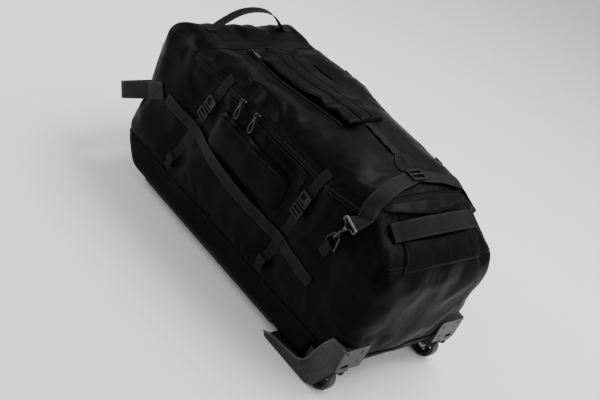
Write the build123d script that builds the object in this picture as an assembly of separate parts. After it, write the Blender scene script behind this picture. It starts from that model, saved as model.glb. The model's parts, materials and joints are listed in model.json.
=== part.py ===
"""Large rolling duffel bag, lying on its back panel, as an assembly of separate pieces.

Frame: +X points to the wheel end, -Y is the left side, +Z points from the back panel to the lid.
The origin is on the floor, under the middle of the whole bag. All sizes are in millimetres.
"""
import functools
import math
import os

from build123d import *

# ---------------------------------------------------------------- driving dimensions
# soft body
HALF_WIDTH = 208.0
# how far the plan outline lies outside the side walls, so that its corners cross them
# and don't touch in a line
PLAN_EASE = 1.5
BASE_Z = 20.0
SEAM_Z = 103.0
WHEEL_END_X = 474.0
HANDLE_END_X = -416.0
CREST_X = 90.0
CREST_Z = 466.0
TOP_SEAM_Z = 352.0
SLOPE_TOP = (332.0, 456.0)
SKIN = 5.0
# lid opening
LID_Z = 412.0
LID_REAR_X = -276.0
LID_FRONT_X = 345.0
LID_GAP = 1.0
ZIP_BAND = 8.0
ZIP_PROUD = 3.0
# wheels
WHEEL_X = 439.0
WHEEL_Y = 190.0
WHEEL_R = 35.0
WHEEL_WIDTH = 24.0
RIM_R = 28.0
AXLE_R = 4.0
AXLE_FIT = 0.05
BEARING_R = 11.0
BEARING_WIDTH = 7.0
# wheel guards
GUARD_Y = 218.0
WELL_REAR_X = 392.0
WELL_TOP_Z = 78.0
WELL_INNER_Y = 173.0
WALL = 4.0
PLATE_X = 479.0
PLATE_INNER_Y = 132.0
GUARD_SCREWS = [(-203.0, 138.0), (-150.0, 132.0), (-150.0, 104.0)]
SCREW_HOLE_R = 1.8
SCREW_HEAD_R = 3.6
SCREW_HEAD = 1.6
# telescoping tow handle
TUBE_Y = 90.0
TUBE_Z = 36.0
OUTER_TUBE = (22.0, 15.0)
INNER_TUBE = (18.4, 11.4)
TUBE_WALL = 1.3
OUTER_TUBE_X = (-338.0, 330.0)
INNER_TUBE_X = (-385.0, 190.0)
GRIP_X = (-398.0, -371.0)
GRIP_HALF = 108.0
BEZEL_X = -366.0
BEZEL_HALF = 114.0
BEZEL_Z = (23.0, 50.0)
BUTTON_TRAVEL = 4.0
# webbing and side hardware
WEB = 2.0
STRAP_WIDTH = 25.0
STRAP_FRONT = {"x": 183.0, "lean": 8.6}
STRAP_REAR = {"x": -192.0, "lean": 13.5}
STRAP_MID_Z = 250.0
STRAP_TOP_Z = 425.0
HAUL_WIDTH = 30.0
GRAB_WIDTH = 25.0
END_WIDTH = 45.0
# stand-off from the side wall of each layer of webbing and hardware
LAYER_LOW = 0.4
LAYER_MID = 3.6
LAYER_TOP = 6.4

# regions that reach past the body on every side
WIDE = (-260.0, 260.0)
LONG = (-470.0, 540.0)
HIGH = (0.0, 560.0)
# sloping top of the wheel end, as an angle
SLOPE = math.atan2(SLOPE_TOP[1] - TOP_SEAM_Z, WHEEL_END_X - SLOPE_TOP[0])
# hood strap: a V from its apex on the lid to a snap hook on each side
HOOD_APEX_X = 286.0
HOOD_END_X = 334.0
HOOD_WIDTH = 40.0
HOOD_END_Z = 392.0
HOOK_TOP = (HOOD_END_X, HOOD_END_Z)
HOOK_LEAN = 180.0 + 18.0
HOOK_AXIS_OUT = 13.0
HOOK_ROD = 2.4
HOOK_EYE = 46.0
HOOK_BEND = 8.0
# side pockets and handles
POCKET_X = (-136.0, 140.0)
POCKET_Z = (262.0, 366.0)
POCKET_OUT = 12.0
HAUL_Z = 240.0
HAUL_TILT = 6.0
END_ROOT = 318.0
END_ROOT_Z = 279.0
END_SLOPE = 34.0
TOP_GRAB_X = -345.0
TOP_GRAB_Z = 437.4
# zip sliders
SLIDER_X = {"rear": -79.0, "front": -24.0}
PULL_DROP = 44.0
PIN_R = 1.0
PIN_FIT = 0.08
BAND_SLIDER = (-246.0, -68.0, 437.6)

OUT = "parts"


# ---------------------------------------------------------------- helpers
def save(name, shape):
    """Write one node."""
    export_step(shape, os.path.join(OUT, name + ".step"))


def block(x, y, z):
    """A box given as three (low, high) pairs."""
    size = [abs(b - a) for a, b in (x, y, z)]
    low = [min(pair) for pair in (x, y, z)]
    return Pos(*low) * Box(*size, align=(Align.MIN, Align.MIN, Align.MIN))


def outline(points, radii):
    """A closed face with a rounded corner at each point."""
    return make_face(FilletPolyline(*points, radius=radii, close=True))


def across(face, y0, y1):
    """Extrude a face drawn as (x, z) between two values of y."""
    solid = extrude(Plane.XZ * face, amount=-(y1 - y0))
    return Pos(0, y0, 0) * solid


def ribbon(points, thickness, width):
    """Webbing that follows points (along, out) in its own plane, extruded across its width."""
    left, right = [], []
    count = len(points)
    for i, (u, w) in enumerate(points):
        before = points[max(i - 1, 0)]
        after = points[min(i + 1, count - 1)]
        first = Vector(u - before[0], w - before[1]) if i > 0 else None
        second = Vector(after[0] - u, after[1] - w) if i < count - 1 else None
        steps = [v.normalized() for v in (first, second) if v is not None]
        middle = (steps[0] + steps[-1]).normalized()
        stretch = 1.0 / max(0.5, middle.dot(steps[0]))
        normal = Vector(-middle.Y, middle.X) * (thickness / 2 * stretch)
        left.append((u + normal.X, w + normal.Y))
        right.append((u - normal.X, w - normal.Y))
    face = make_face(Polyline(*left, *reversed(right), close=True))
    return extrude(face, amount=width / 2, both=True)


def side_plane(x, z, lean=0.0):
    """Plane on the left side wall: local x runs up along the strap, y across it, z outwards."""
    angle = math.radians(lean)
    return Plane(
        origin=(x, -HALF_WIDTH, z),
        x_dir=(math.sin(angle), 0, math.cos(angle)),
        z_dir=(0, -1, 0),
    )


def in_profile(points, thickness, width, plane):
    """A ribbon whose route is drawn as (along, out) in the given plane's x and z."""
    solid = ribbon(points, thickness, width)
    upright = Plane(origin=(0, 0, 0), x_dir=(1, 0, 0), z_dir=(0, -1, 0))
    return plane * (upright * solid)


def mirrored(shape):
    """The same piece on the right side."""
    return mirror(shape, about=Plane.XZ)


def save_pair(name, shape):
    """Write the left piece and its mirror image as two nodes."""
    save(name + "_left", shape)
    save(name + "_right", mirrored(shape))


def save_group(name, shape):
    """Write identical left and right pieces as one node of separate solids."""
    save(name, shape + mirrored(shape))


# ---------------------------------------------------------------- soft body
@functools.lru_cache(maxsize=None)
def envelope(grow=0.0):
    """The packed bag's outer shape, grown or shrunk by one thickness."""
    side = outline(
        [
            (-336, BASE_Z), (405, BASE_Z), (446, 52), (WHEEL_END_X, 110), (WHEEL_END_X, TOP_SEAM_Z),
            SLOPE_TOP, (CREST_X, CREST_Z), (-126, 437), (-404, 436),
            (HANDLE_END_X, 330), (HANDLE_END_X, 116),
        ],
        [25, 40, 60, 60, 18, 70, 400, 400, 45, 150, 60],
    )
    cross = outline(
        [
            (-HALF_WIDTH, BASE_Z), (HALF_WIDTH, BASE_Z), (HALF_WIDTH, 418), (150, 449),
            (60, 470), (-60, 470), (-150, 449), (-HALF_WIDTH, 418),
        ],
        [30, 30, 28, 120, 200, 200, 120, 28],
    )
    wide = HALF_WIDTH + PLAN_EASE
    plan = outline(
        [(HANDLE_END_X, -wide), (WHEEL_END_X, -wide), (WHEEL_END_X, wide), (HANDLE_END_X, wide)],
        [38, 28, 28, 38],
    )
    faces = [offset(face, amount=grow) if grow else face for face in (side, cross, plan)]
    reach = HALF_WIDTH + 60
    along = extrude(Plane.XZ * faces[0], amount=reach, both=True)
    through = extrude(Plane.YZ * faces[1], amount=WHEEL_END_X + 60, both=True)
    upward = extrude(faces[2], amount=CREST_Z + 60)
    return along & through & upward


def layer(inner, outer, region):
    """The part of a skin between two growths of the body that lies in a region."""
    return (envelope(outer) - envelope(inner)) & region


def lid_region(clearance):
    """The space above the lid opening."""
    return block((LID_REAR_X + clearance, LID_FRONT_X - clearance), WIDE, (LID_Z + clearance, HIGH[1]))


def wheel_notches(clearance):
    """The corners of the body that the wheel wells take up."""
    low = WELL_INNER_Y - WALL - clearance
    rear = WELL_REAR_X - WALL - clearance
    top = WELL_TOP_Z + WALL + clearance
    left = block((rear, LONG[1]), (WIDE[0], -low), (0, top))
    return left + mirrored(left)


def make_body():
    shell = envelope() - envelope(-SKIN)
    tub = (shell & block(LONG, WIDE, (0, SEAM_Z))) - wheel_notches(0.3)
    tub -= block(
        (BEZEL_X - 10, OUTER_TUBE_X[0] + 14),
        (-BEZEL_HALF - 0.3, BEZEL_HALF + 0.3),
        (BEZEL_Z[0] - 0.3, BEZEL_Z[1] + 0.3),
    )
    save("tub_shell", tub)
    walls = (shell & block(LONG, WIDE, (SEAM_Z, HIGH[1]))) - lid_region(-LID_GAP)
    save("wall_shell", walls)
    lid = shell & lid_region(LID_GAP)
    save("lid_shell", lid)
    piping = layer(0, 4, block(LONG, WIDE, (SEAM_Z - 2.5, SEAM_Z + 2.5)))
    corner = block((398, LONG[1]), (WIDE[0], -PLATE_INNER_Y + 0.5), (0, 200))
    save("seam_piping", piping - corner - mirrored(corner))


def zip_chain(clearance, reach):
    """One half of the lid's zip: a band of tape and teeth beside the opening's edge."""
    inner = lid_region(clearance)
    outer = lid_region(reach)
    band = outer - inner if reach < clearance else inner - outer
    rear_cut = block((LID_REAR_X + 6, LONG[1]), WIDE, HIGH)
    return layer(0, ZIP_PROUD, band & rear_cut)


def make_zip():
    save("zip_chain_lower", zip_chain(-LID_GAP, -LID_GAP - ZIP_BAND))
    save("zip_chain_upper", zip_chain(LID_GAP, LID_GAP + ZIP_BAND))


def make_lid_trim():
    band = layer(0, 12, block((-262, 104), (-58, 58), (400, HIGH[1])))
    save("lid_padded_band", band)
    chain = layer(0, 6, block((112, 214), (-12, 12), (400, HIGH[1])))
    save("daisy_chain", chain)
    tab = layer(0, 3, block((216, 262), (-24, 24), (400, HIGH[1])))
    save("strap_anchor_tab", tab)


# ---------------------------------------------------------------- hood strap, buckle and snap hooks


def make_hood_strap():
    half = HOOD_WIDTH / 2
    end_y = HALF_WIDTH + 12
    apex, end = HOOD_APEX_X, HOOD_END_X
    route = [
        (apex - half, 0), (end - half, -end_y), (end + half, -end_y),
        (apex + half, 0), (end + half, end_y), (end - half, end_y),
    ]
    plan = extrude(make_face(Polyline(*route, close=True)), amount=HIGH[1])
    strap = layer(LAYER_MID, LAYER_MID + WEB, plan & block(LONG, WIDE, (HOOD_END_Z, HIGH[1])))
    save("hood_strap", strap)


def slotted_bar(length, width, thickness, slots):
    """A flat moulded buckle with crosswise slots, each given as (low, high) along it."""
    plate = Box(length, width, thickness, align=(Align.MIN, Align.CENTER, Align.MIN))
    plate = fillet(plate.edges().filter_by(Axis.Z), 3)
    for low, high in slots:
        plate -= Pos(low, 0, 0) * Box(
            high - low, width - 8, 3 * thickness, align=(Align.MIN, Align.CENTER, Align.CENTER)
        )
    return fillet(plate.faces().sort_by(Axis.Z)[-1].outer_wire().edges(), 1.0)


def make_hood_buckle():
    lock = slotted_bar(34, 46, 5, [(5, 13), (18, 29)])
    fall = (CREST_Z - SLOPE_TOP[1]) / (SLOPE_TOP[0] - CREST_X)
    height = CREST_Z - fall * (HOOD_APEX_X - CREST_X) + LAYER_MID + WEB + 0.6
    tilt = math.degrees(math.atan(fall))
    save("hood_ladder_lock", Pos(HOOD_APEX_X - 14, 0, height + 0.6) * Rot(0, tilt, 0) * lock)


def hook_plane():
    """Local x runs down from the end of the hood strap along the hook."""
    return side_plane(HOOK_TOP[0], HOOK_TOP[1], HOOK_LEAN)


def rod(points, radius, radii):
    """Round bar along a route of straight runs and arcs in the (along, out) plane."""
    route = [(u, 0, w) for u, w in points]
    path = FilletPolyline(*route, radius=radii) if radii else Line(*route)
    start = Plane(origin=path @ 0, z_dir=path % 0)
    return sweep(start * Circle(radius), path=path)


def make_snap_hook():
    axis = HOOK_AXIS_OUT
    base = Box(13, 46, 5, align=(Align.CENTER, Align.CENTER, Align.CENTER))
    base = fillet(base.edges().filter_by(Axis.Z), 3)
    base -= Box(5.5, 37, 20)
    base = Pos(4, 0, axis - 4) * base
    boss = Pos(14.5, 0, axis) * Rot(0, 90, 0) * Cylinder(5.5, 8)
    bridge = Pos(10.5, 0, axis - 2) * Box(3, 16, 7)
    swivel = base + boss + bridge
    # the hook proper turns in the boss
    shank = axis + HOOK_BEND
    nose = axis - HOOK_BEND
    route = [
        (19.2, axis), (24, axis), (30, shank), (HOOK_EYE + HOOK_BEND, shank),
        (HOOK_EYE + HOOK_BEND, nose), (HOOK_EYE - 6, nose),
    ]
    bend = HOOK_BEND - 0.3
    jaw = rod(route, HOOK_ROD, [3, 4, bend, bend])
    # sprung wire gate that closes the jaw
    gate = rod([(27.0, axis - 1.5), (HOOK_EYE - 9.2, nose + 0.3)], 1.5, [])
    plane = hook_plane()
    save_pair("hook_swivel_base", plane * swivel)
    save_pair("snap_hook", plane * jaw)
    save_pair("hook_gate", plane * gate)


def make_corner_ring():
    """Flat triangular ring on a webbing tab sewn to the side wall."""
    wire = 2.0
    out = HOOK_AXIS_OUT
    top = HOOK_EYE
    low_out = 4.0
    corners = [(top, -9, out), (top, 9, out), (top + 40, 19, low_out), (top + 40, -19, low_out)]
    path = FilletPolyline(*corners, radius=[4, 4, 5, 5], close=True)
    ring = sweep(Plane(origin=path @ 0, z_dir=path % 0) * Circle(wire), path=path)
    plane = hook_plane()
    save_pair("corner_ring", plane * ring)
    tab = in_profile(
        [(top + 44.5, 8.6), (top + 44.5, 1.4), (top + 74, 1.4)], WEB, 28, hook_plane()
    )
    save_group("ring_tabs", tab)


# ---------------------------------------------------------------- side straps
def make_compression_straps():
    lowers, uppers = [], []
    for strap in (STRAP_FRONT, STRAP_REAR):
        plane = side_plane(strap["x"], STRAP_MID_Z, strap["lean"])
        low = -(STRAP_MID_Z - SEAM_Z - 6)
        layer_mid = LAYER_LOW + WEB / 2
        lower = in_profile(
            [
                (low, layer_mid), (low + 14, layer_mid), (low + 28, 10), (low + 48, 10),
                (low + 60, layer_mid), (104, layer_mid),
            ],
            WEB, STRAP_WIDTH, plane,
        )
        lowers.append(lower)
        high = (STRAP_TOP_Z - STRAP_MID_Z) / math.cos(math.radians(strap["lean"]))
        region = plane * (Pos((108 + high) / 2, 0, -10) * Box(high - 108, STRAP_WIDTH, 60))
        uppers.append(layer(LAYER_MID, LAYER_MID + WEB, region))
    save_pair("straps_lower", lowers[0] + lowers[1])
    save_pair("straps_upper", uppers[0] + uppers[1])


def make_side_buckles():
    locks, hooks = [], []
    for strap in (STRAP_FRONT, STRAP_REAR):
        plane = side_plane(strap["x"], STRAP_MID_Z, strap["lean"])
        lock = slotted_bar(27, 33, 4.5, [(4.5, 11), (15.5, 22.5)])
        lock = plane * (Pos(50, 0, LAYER_TOP) * lock)
        hook = slotted_bar(36, 31, 4.0, [(4, 9.5)])
        jaw = Pos(14, 4, 0) * Box(16, 14, 20, align=(Align.MIN, Align.CENTER, Align.CENTER))
        hook -= jaw
        hook = plane * (Pos(82, 0, LAYER_TOP) * hook)
        locks.append(lock)
        hooks.append(hook)
    save_pair("ladder_locks", locks[0] + locks[1])
    save_pair("strap_hooks", hooks[0] + hooks[1])


# ---------------------------------------------------------------- pockets and handles


def make_side_pocket():
    body = block(POCKET_X, (-HALF_WIDTH - POCKET_OUT, -HALF_WIDTH), POCKET_Z)
    body = fillet(body.edges().filter_by(Axis.Y), 18)
    body = fillet(body.faces().sort_by(Axis.Y)[0].outer_wire().edges(), 7)
    save_pair("side_pocket", body)


def make_haul_handle():
    """Long side handle: sewn at both ends, it passes over the straps and stands off between them."""
    low = LAYER_LOW + WEB / 2
    over = LAYER_MID + WEB / 2
    route = [
        (-300, low), (-232, low), (-222, over), (-170, over), (-120, 17), (-60, 25), (10, 27),
        (70, 22), (120, 12), (146, over), (196, over), (206, low), (318, low),
    ]
    plane = side_plane(0, HAUL_Z, 90 + HAUL_TILT)
    save_pair("haul_handle", in_profile(route, WEB, HAUL_WIDTH, plane))


def make_end_handle():
    """Wide handle across the handle end, sewn to both side walls and sloping down to its middle."""
    slope = math.radians(END_SLOPE)
    front = PLATE_X + SCREW_HEAD
    reach = front - (END_WIDTH / 2) * math.sin(slope) - (WEB / 2) * math.cos(slope)
    side = HALF_WIDTH + LAYER_LOW + WEB / 2
    tip = reach - END_ROOT
    half = [
        (0, side), (70, side + 0.5), (tip - 30, side + 4), (tip - 9, side + 2),
        (tip - 2, side - 5), (tip, side - 16),
    ]
    near = [(-x / math.cos(slope), -y) for x, y in half]
    far = [(x, -y) for x, y in reversed(near)]
    flat = ribbon(near + far, WEB, END_WIDTH)
    turned = Pos(-END_ROOT, 0, END_ROOT_Z) * Rot(0, -END_SLOPE, 0) * flat
    save("end_haul_handle", turned - envelope(0.3))


def make_top_grab_handle():
    """Arched webbing handle across the handle end of the top."""
    half = [(146, 0.4), (120, 0.4), (104, 12), (84, 28), (60, 43), (32, 52)]
    route = [(-y, z) for y, z in half] + [(0, 55)] + list(reversed(half))
    plane = Plane(origin=(TOP_GRAB_X, 0, TOP_GRAB_Z), x_dir=(0, 1, 0), z_dir=(0, 0, 1))
    handle = in_profile(route, WEB, GRAB_WIDTH, plane)
    save("top_grab_handle", handle - envelope(0.2))


def slope_plane(distance):
    """Plane on the sloping part of the wheel end: local x runs up it, local z stands out of it."""
    x = WHEEL_END_X - distance * math.cos(SLOPE)
    z = TOP_SEAM_Z + distance * math.sin(SLOPE)
    return Plane(origin=(x, 0, z), x_dir=(0, 1, 0), z_dir=(math.sin(SLOPE), 0, math.cos(SLOPE)))


def make_wheel_end():
    route = [(-150, 1.4), (-118, 1.4), (-60, 16), (0, 20), (60, 16), (118, 1.4), (150, 1.4)]
    grab = in_profile(route, WEB, END_WIDTH, slope_plane(96))
    save("wheel_end_grab_handle", grab)
    pocket = layer(0, 7, block((395, LONG[1]), (-146, 146), (358, HIGH[1])))
    keep = slope_plane(40) * Box(400, 66, 80)
    save("end_pocket", pocket & keep)


# ---------------------------------------------------------------- wheel guards and wheels
def guard_cheek():
    """Side face of the guard: a skid arm, a scooped upper edge and a short arm at the wheel end."""
    points = [
        (262, 9), (276, 3), (424, 3), (446, 14), (458, 44), (PLATE_X, 92), (PLATE_X, 150),
        (436, 150), (414, 104), (400, 36), (340, 28), (290, 21),
    ]
    radii = [4, 6, 20, 20, 20, 10, 4, 14, 60, 40, 40, 6]
    return across(outline(points, radii), -GUARD_Y, -HALF_WIDTH)


def make_guards():
    cheek = guard_cheek()
    skid = outline([(268, 8), (278, 3), (396, 3), (396, 19.6), (292, 19.6)], [3, 4, 3, 0, 0])
    arm = across(skid, -HALF_WIDTH, -WELL_INNER_Y)
    low, high = -HALF_WIDTH, -WELL_INNER_Y + WALL
    well_side = outline(
        [(WELL_REAR_X - WALL, 3), (PLATE_X - 4, 60), (PLATE_X - 4, WELL_TOP_Z + WALL),
         (WELL_REAR_X - WALL, WELL_TOP_Z + WALL)],
        [0, 8, 0, 0],
    )
    well = across(well_side, low, high)
    hollow = block((WELL_REAR_X, LONG[1]), (low + 2, high - WALL), (-10, WELL_TOP_Z))
    well -= hollow
    plate = block((WHEEL_END_X - 4, PLATE_X), (-GUARD_Y + 2, -PLATE_INNER_Y), (86, 150))
    plate = fillet(plate.edges().filter_by(Axis.X).sort_by(Axis.Y)[-2:], 6)
    slot = Pos(WHEEL_END_X, -WHEEL_Y, 97) * Rot(0, 90, 0) * extrude(
        SlotOverall(26, 9, rotation=90), amount=20, both=True
    )
    link = block((WHEEL_END_X - 4, PLATE_X), (-HALF_WIDTH, high), (WELL_TOP_Z, 90))
    guard = cheek + arm + well + plate + link
    guard -= slot
    axle_hole = Pos(WHEEL_X, 0, WHEEL_R) * Rot(90, 0, 0) * Cylinder(
        AXLE_R + AXLE_FIT, GUARD_Y - 3, align=(Align.CENTER, Align.CENTER, Align.MIN)
    )
    guard -= axle_hole
    for y, z in GUARD_SCREWS:
        guard -= Pos(PLATE_X, y, z) * Rot(0, 90, 0) * Cylinder(SCREW_HOLE_R, 30)
    guard -= envelope(0.0) - envelope(-SKIN) - wheel_notches(0.3)
    save_pair("wheel_guard", guard)


def make_guard_screws():
    screws = None
    for y, z in GUARD_SCREWS:
        head = Cylinder(SCREW_HEAD_R, SCREW_HEAD, align=(Align.CENTER, Align.CENTER, Align.MIN))
        head = fillet(head.faces().sort_by(Axis.Z)[-1].edges(), 0.7)
        head -= Pos(0, 0, SCREW_HEAD) * (Box(4.4, 0.9, 1.4) + Box(0.9, 4.4, 1.4))
        stem = Cylinder(SCREW_HOLE_R, 4.6, align=(Align.CENTER, Align.CENTER, Align.MAX))
        screw = Pos(PLATE_X, y, z) * Rot(0, 90, 0) * (head + stem)
        screws = screw if screws is None else screws + screw
    save_group("guard_screws", screws)


def wheel_place(y=0.0):
    """Moves a piece built along +Z about the origin onto the left wheel's axle line."""
    return Pos(WHEEL_X, -WHEEL_Y + y, WHEEL_R) * Rot(90, 0, 0)


def make_wheels():
    tyre = Cylinder(WHEEL_R, WHEEL_WIDTH) - Cylinder(RIM_R, WHEEL_WIDTH + 2)
    outer = [e for e in tyre.edges().filter_by(GeomType.CIRCLE) if e.radius > RIM_R + 1]
    tyre = fillet(outer, 4.5)
    hub = Cylinder(RIM_R, 18) - Cylinder(RIM_R - 3.5, 30)
    hub += Cylinder(RIM_R - 3, 5)
    hub += Cylinder(BEARING_R + 3, WHEEL_WIDTH)
    for end in (-1, 1):
        shift = end * (WHEEL_WIDTH / 2 - BEARING_WIDTH / 2)
        hub -= Pos(0, 0, shift) * Cylinder(BEARING_R, BEARING_WIDTH)
    hub -= Cylinder(6.0, WHEEL_WIDTH + 2)
    window = Pos(19.2, 0, 0) * Cylinder(4.2, 30)
    for i in range(5):
        hub -= Rot(0, 0, i * 72) * window
    bearing = Cylinder(BEARING_R, BEARING_WIDTH) - Cylinder(AXLE_R + AXLE_FIT, 20)
    shift = WHEEL_WIDTH / 2 - BEARING_WIDTH / 2
    bearings = Pos(0, 0, shift) * bearing + Pos(0, 0, -shift) * bearing
    save_pair("tyre", wheel_place() * tyre)
    save_pair("wheel_hub", wheel_place() * hub)
    save_pair("wheel_bearings", wheel_place() * bearings)
    inner_end = WELL_INNER_Y - WALL
    length = GUARD_Y - 3.2 - inner_end
    axle = Cylinder(AXLE_R, length)
    save_group("wheel_axles", wheel_place(WHEEL_Y - (inner_end + length / 2)) * axle)


def make_skid_rails():
    profile = outline(
        [(-322, 10), (-312, 0), (238, 0), (248, 10), (248, 19.8), (-322, 19.8)],
        [6, 8, 8, 6, 0, 0],
    )
    rail = across(profile, -168, -142)
    save_group("skid_rails", rail)


# ---------------------------------------------------------------- tow handle
def box_tube(size, wall, x_range, y):
    """Rectangular tube along X."""
    width, height = size
    low, high = x_range
    tube = Box(high - low, width, height) - Box(high - low + 2, width - 2 * wall, height - 2 * wall)
    return Pos((low + high) / 2, y, TUBE_Z) * tube


def make_tow_handle():
    save_group("guide_tubes", box_tube(OUTER_TUBE, TUBE_WALL, OUTER_TUBE_X, -TUBE_Y))
    save_group("tow_tubes", box_tube(INNER_TUBE, TUBE_WALL, INNER_TUBE_X, -TUBE_Y))
    low, high = GRIP_X
    grip = Box(high - low, 2 * GRIP_HALF, 24)
    grip = fillet(grip.edges().filter_by(Axis.Y), 9)
    grip = fillet(grip.edges().filter_by(Axis.X), 2)
    grip = Pos((low + high) / 2, 0, TUBE_Z) * grip
    window = block((low - 5, low + 10), (-23, 23), (TUBE_Z - 6, TUBE_Z + 6))
    grip -= window
    for y in (-TUBE_Y, TUBE_Y):
        socket = Box(high - INNER_TUBE_X[0], INNER_TUBE[0], INNER_TUBE[1])
        grip -= Pos((high + INNER_TUBE_X[0]) / 2, y, TUBE_Z) * socket
    save("tow_grip", grip)
    depth = 10 - BUTTON_TRAVEL - 0.6
    button = block((low - 3, low + depth), (-22.5, 22.5), (TUBE_Z - 5.5, TUBE_Z + 5.5))
    button = fillet(button.edges().filter_by(Axis.X), 3)
    save("grip_button", button)
    foot = block((OUTER_TUBE_X[1], OUTER_TUBE_X[1] + 12), (-TUBE_Y - 16, TUBE_Y + 16), (26, 45))
    save("tube_foot_bracket", fillet(foot.edges().filter_by(Axis.X), 3))
    bezel = block((BEZEL_X, OUTER_TUBE_X[0]), (-BEZEL_HALF, BEZEL_HALF), BEZEL_Z)
    bezel = fillet(bezel.edges().filter_by(Axis.X), 5)
    for y in (-TUBE_Y, TUBE_Y):
        bezel -= Pos(-350, y, TUBE_Z) * Box(60, INNER_TUBE[0] + 0.8, INNER_TUBE[1] + 0.8)
    save("tube_bezel", bezel)
    save("base_board", make_base_board())


def make_base_board():
    board = block((-318, 376), (-188, 188), (50.5, 53.5))
    return fillet(board.edges().filter_by(Axis.Z), 20)


# ---------------------------------------------------------------- zip sliders


def make_sliders():
    wall = -HALF_WIDTH
    for name, x in SLIDER_X.items():
        out = wall - ZIP_PROUD - 0.3
        body = block((x - 8, x + 8), (out - 4.5, out), (LID_Z - 8, LID_Z + 8))
        body = fillet(body.edges().filter_by(Axis.Y), 3)
        ears = block((x - 4, x + 4), (out - 10.5, out - 4.5), (LID_Z - 5, LID_Z + 5))
        ears -= block((x - 2.2, x + 2.2), (out - 20, out - 4.5), (LID_Z - 9, LID_Z + 9))
        pin = Pos(x, out - 8.2, LID_Z) * Rot(0, 90, 0) * Cylinder(PIN_R, 8)
        save("zip_slider_" + name, body + ears + pin)
        eye = Pos(x, out - 8.2, LID_Z) * Rot(0, 90, 0) * Cylinder(2.3, 3.8)
        shaft = block((x - 1.9, x + 1.9), (out - 9.4, out - 7.0), (LID_Z - 12, LID_Z))
        paddle = block((x - 5, x + 5), (out - 9.4, out - 7.0), (LID_Z - PULL_DROP, LID_Z - 11))
        paddle = fillet(paddle.edges().filter_by(Axis.Y), 3)
        bore = Pos(x, out - 8.2, LID_Z) * Rot(0, 90, 0) * Cylinder(PIN_R + PIN_FIT, 12)
        save("zip_pull_" + name, eye + shaft + paddle - bore)


def make_band_slider():
    """Slider and pull of the padded band's zip, lying flat on the lid."""
    x, y, z = BAND_SLIDER
    body = block((x - 8, x + 8), (y - 7, y + 7), (z, z + 3.5))
    body = fillet(body.edges().filter_by(Axis.Z), 3)
    ears = block((x - 4, x + 4), (y - 3.5, y + 3.5), (z + 3.5, z + 8.5))
    ears -= block((x - 9, x + 9), (y - 2.1, y + 2.1), (z + 3.5, z + 20))
    pin = Pos(x, y, z + 6.5) * Rot(90, 0, 0) * Cylinder(PIN_R, 7)
    save("band_zip_slider", body + ears + pin)
    eye = Pos(x, y, z + 6.5) * Rot(90, 0, 0) * Cylinder(2.2, 3.8)
    shaft = block((x, x + 13), (y - 1.9, y + 1.9), (z + 5.4, z + 7.6))
    paddle = block((x + 12, x + 34), (y - 4.5, y + 4.5), (z + 5.4, z + 7.6))
    paddle = fillet(paddle.edges().filter_by(Axis.Z), 3)
    bore = Pos(x, y, z + 6.5) * Rot(90, 0, 0) * Cylinder(PIN_R + PIN_FIT, 12)
    save("band_zip_pull", eye + shaft + paddle - bore)


os.makedirs(OUT, exist_ok=True)
make_body()
make_zip()
make_lid_trim()
make_hood_strap()
make_hood_buckle()
make_snap_hook()
make_corner_ring()
make_compression_straps()
make_side_buckles()
make_side_pocket()
make_haul_handle()
make_end_handle()
make_top_grab_handle()
make_wheel_end()
make_guards()
make_guard_screws()
make_wheels()
make_skid_rails()
make_tow_handle()
make_sliders()
make_band_slider()
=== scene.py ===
"""Looks of the rolling duffel bag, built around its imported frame.

Metres, in the row frame: +X points to the wheel end, -Y is the left side and +Z points to the lid.
"""

import json
import math

import bpy
import numpy as np
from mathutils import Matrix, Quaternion, Vector, noise
from mathutils.bvhtree import BVHTree
from mathutils.kdtree import KDTree


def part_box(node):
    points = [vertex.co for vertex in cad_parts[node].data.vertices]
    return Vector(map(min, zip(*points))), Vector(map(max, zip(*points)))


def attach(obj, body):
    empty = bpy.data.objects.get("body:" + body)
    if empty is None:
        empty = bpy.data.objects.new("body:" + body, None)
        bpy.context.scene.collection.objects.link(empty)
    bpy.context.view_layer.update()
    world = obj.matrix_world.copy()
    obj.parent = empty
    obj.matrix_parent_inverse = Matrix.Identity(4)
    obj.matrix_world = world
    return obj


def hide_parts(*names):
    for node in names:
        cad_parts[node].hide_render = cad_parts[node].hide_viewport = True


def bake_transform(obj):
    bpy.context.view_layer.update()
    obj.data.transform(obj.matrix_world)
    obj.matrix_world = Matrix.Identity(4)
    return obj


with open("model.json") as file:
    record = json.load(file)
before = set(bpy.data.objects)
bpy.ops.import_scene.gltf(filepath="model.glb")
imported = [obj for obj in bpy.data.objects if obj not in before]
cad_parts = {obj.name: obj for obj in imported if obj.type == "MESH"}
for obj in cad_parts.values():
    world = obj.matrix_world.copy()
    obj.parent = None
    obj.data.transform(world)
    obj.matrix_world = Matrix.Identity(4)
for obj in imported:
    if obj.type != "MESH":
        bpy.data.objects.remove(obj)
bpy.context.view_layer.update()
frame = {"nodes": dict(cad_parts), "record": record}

MM = 0.001
SIDES = {"left": -1, "right": 1}
UP = Vector((0, 0, 1))

# ---------------------------------------------------------------- places, from the frame
LID_GAP = 1 * MM
TUB_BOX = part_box("tub_shell")
WALL_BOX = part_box("wall_shell")
LID_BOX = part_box("lid_shell")
HALF_WIDTH = WALL_BOX[1].y
SEAM_Z = WALL_BOX[0].z
LID_Z = LID_BOX[0].z - LID_GAP
LID_REAR = LID_BOX[0].x - LID_GAP
LID_FRONT = LID_BOX[1].x + LID_GAP
SKIN = 5 * MM
# corners of the body that the wheel wells take up
WELL_X = 0.388
WELL_Y = 0.169
WELL_Z = 0.082
# straps on each side: where their line crosses mid height, and how far it leans towards the wheels
STRAP_MID_Z = 0.250
STRAPS = {"front": (0.183, math.radians(8.6)), "rear": (-0.192, math.radians(13.5))}
# place (x, z) of each snap hook's swivel, and the direction that its hook and ring hang in
HOOK_TOP = (0.334, 0.392)
HOOK_LEAN = math.radians(198)
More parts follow.
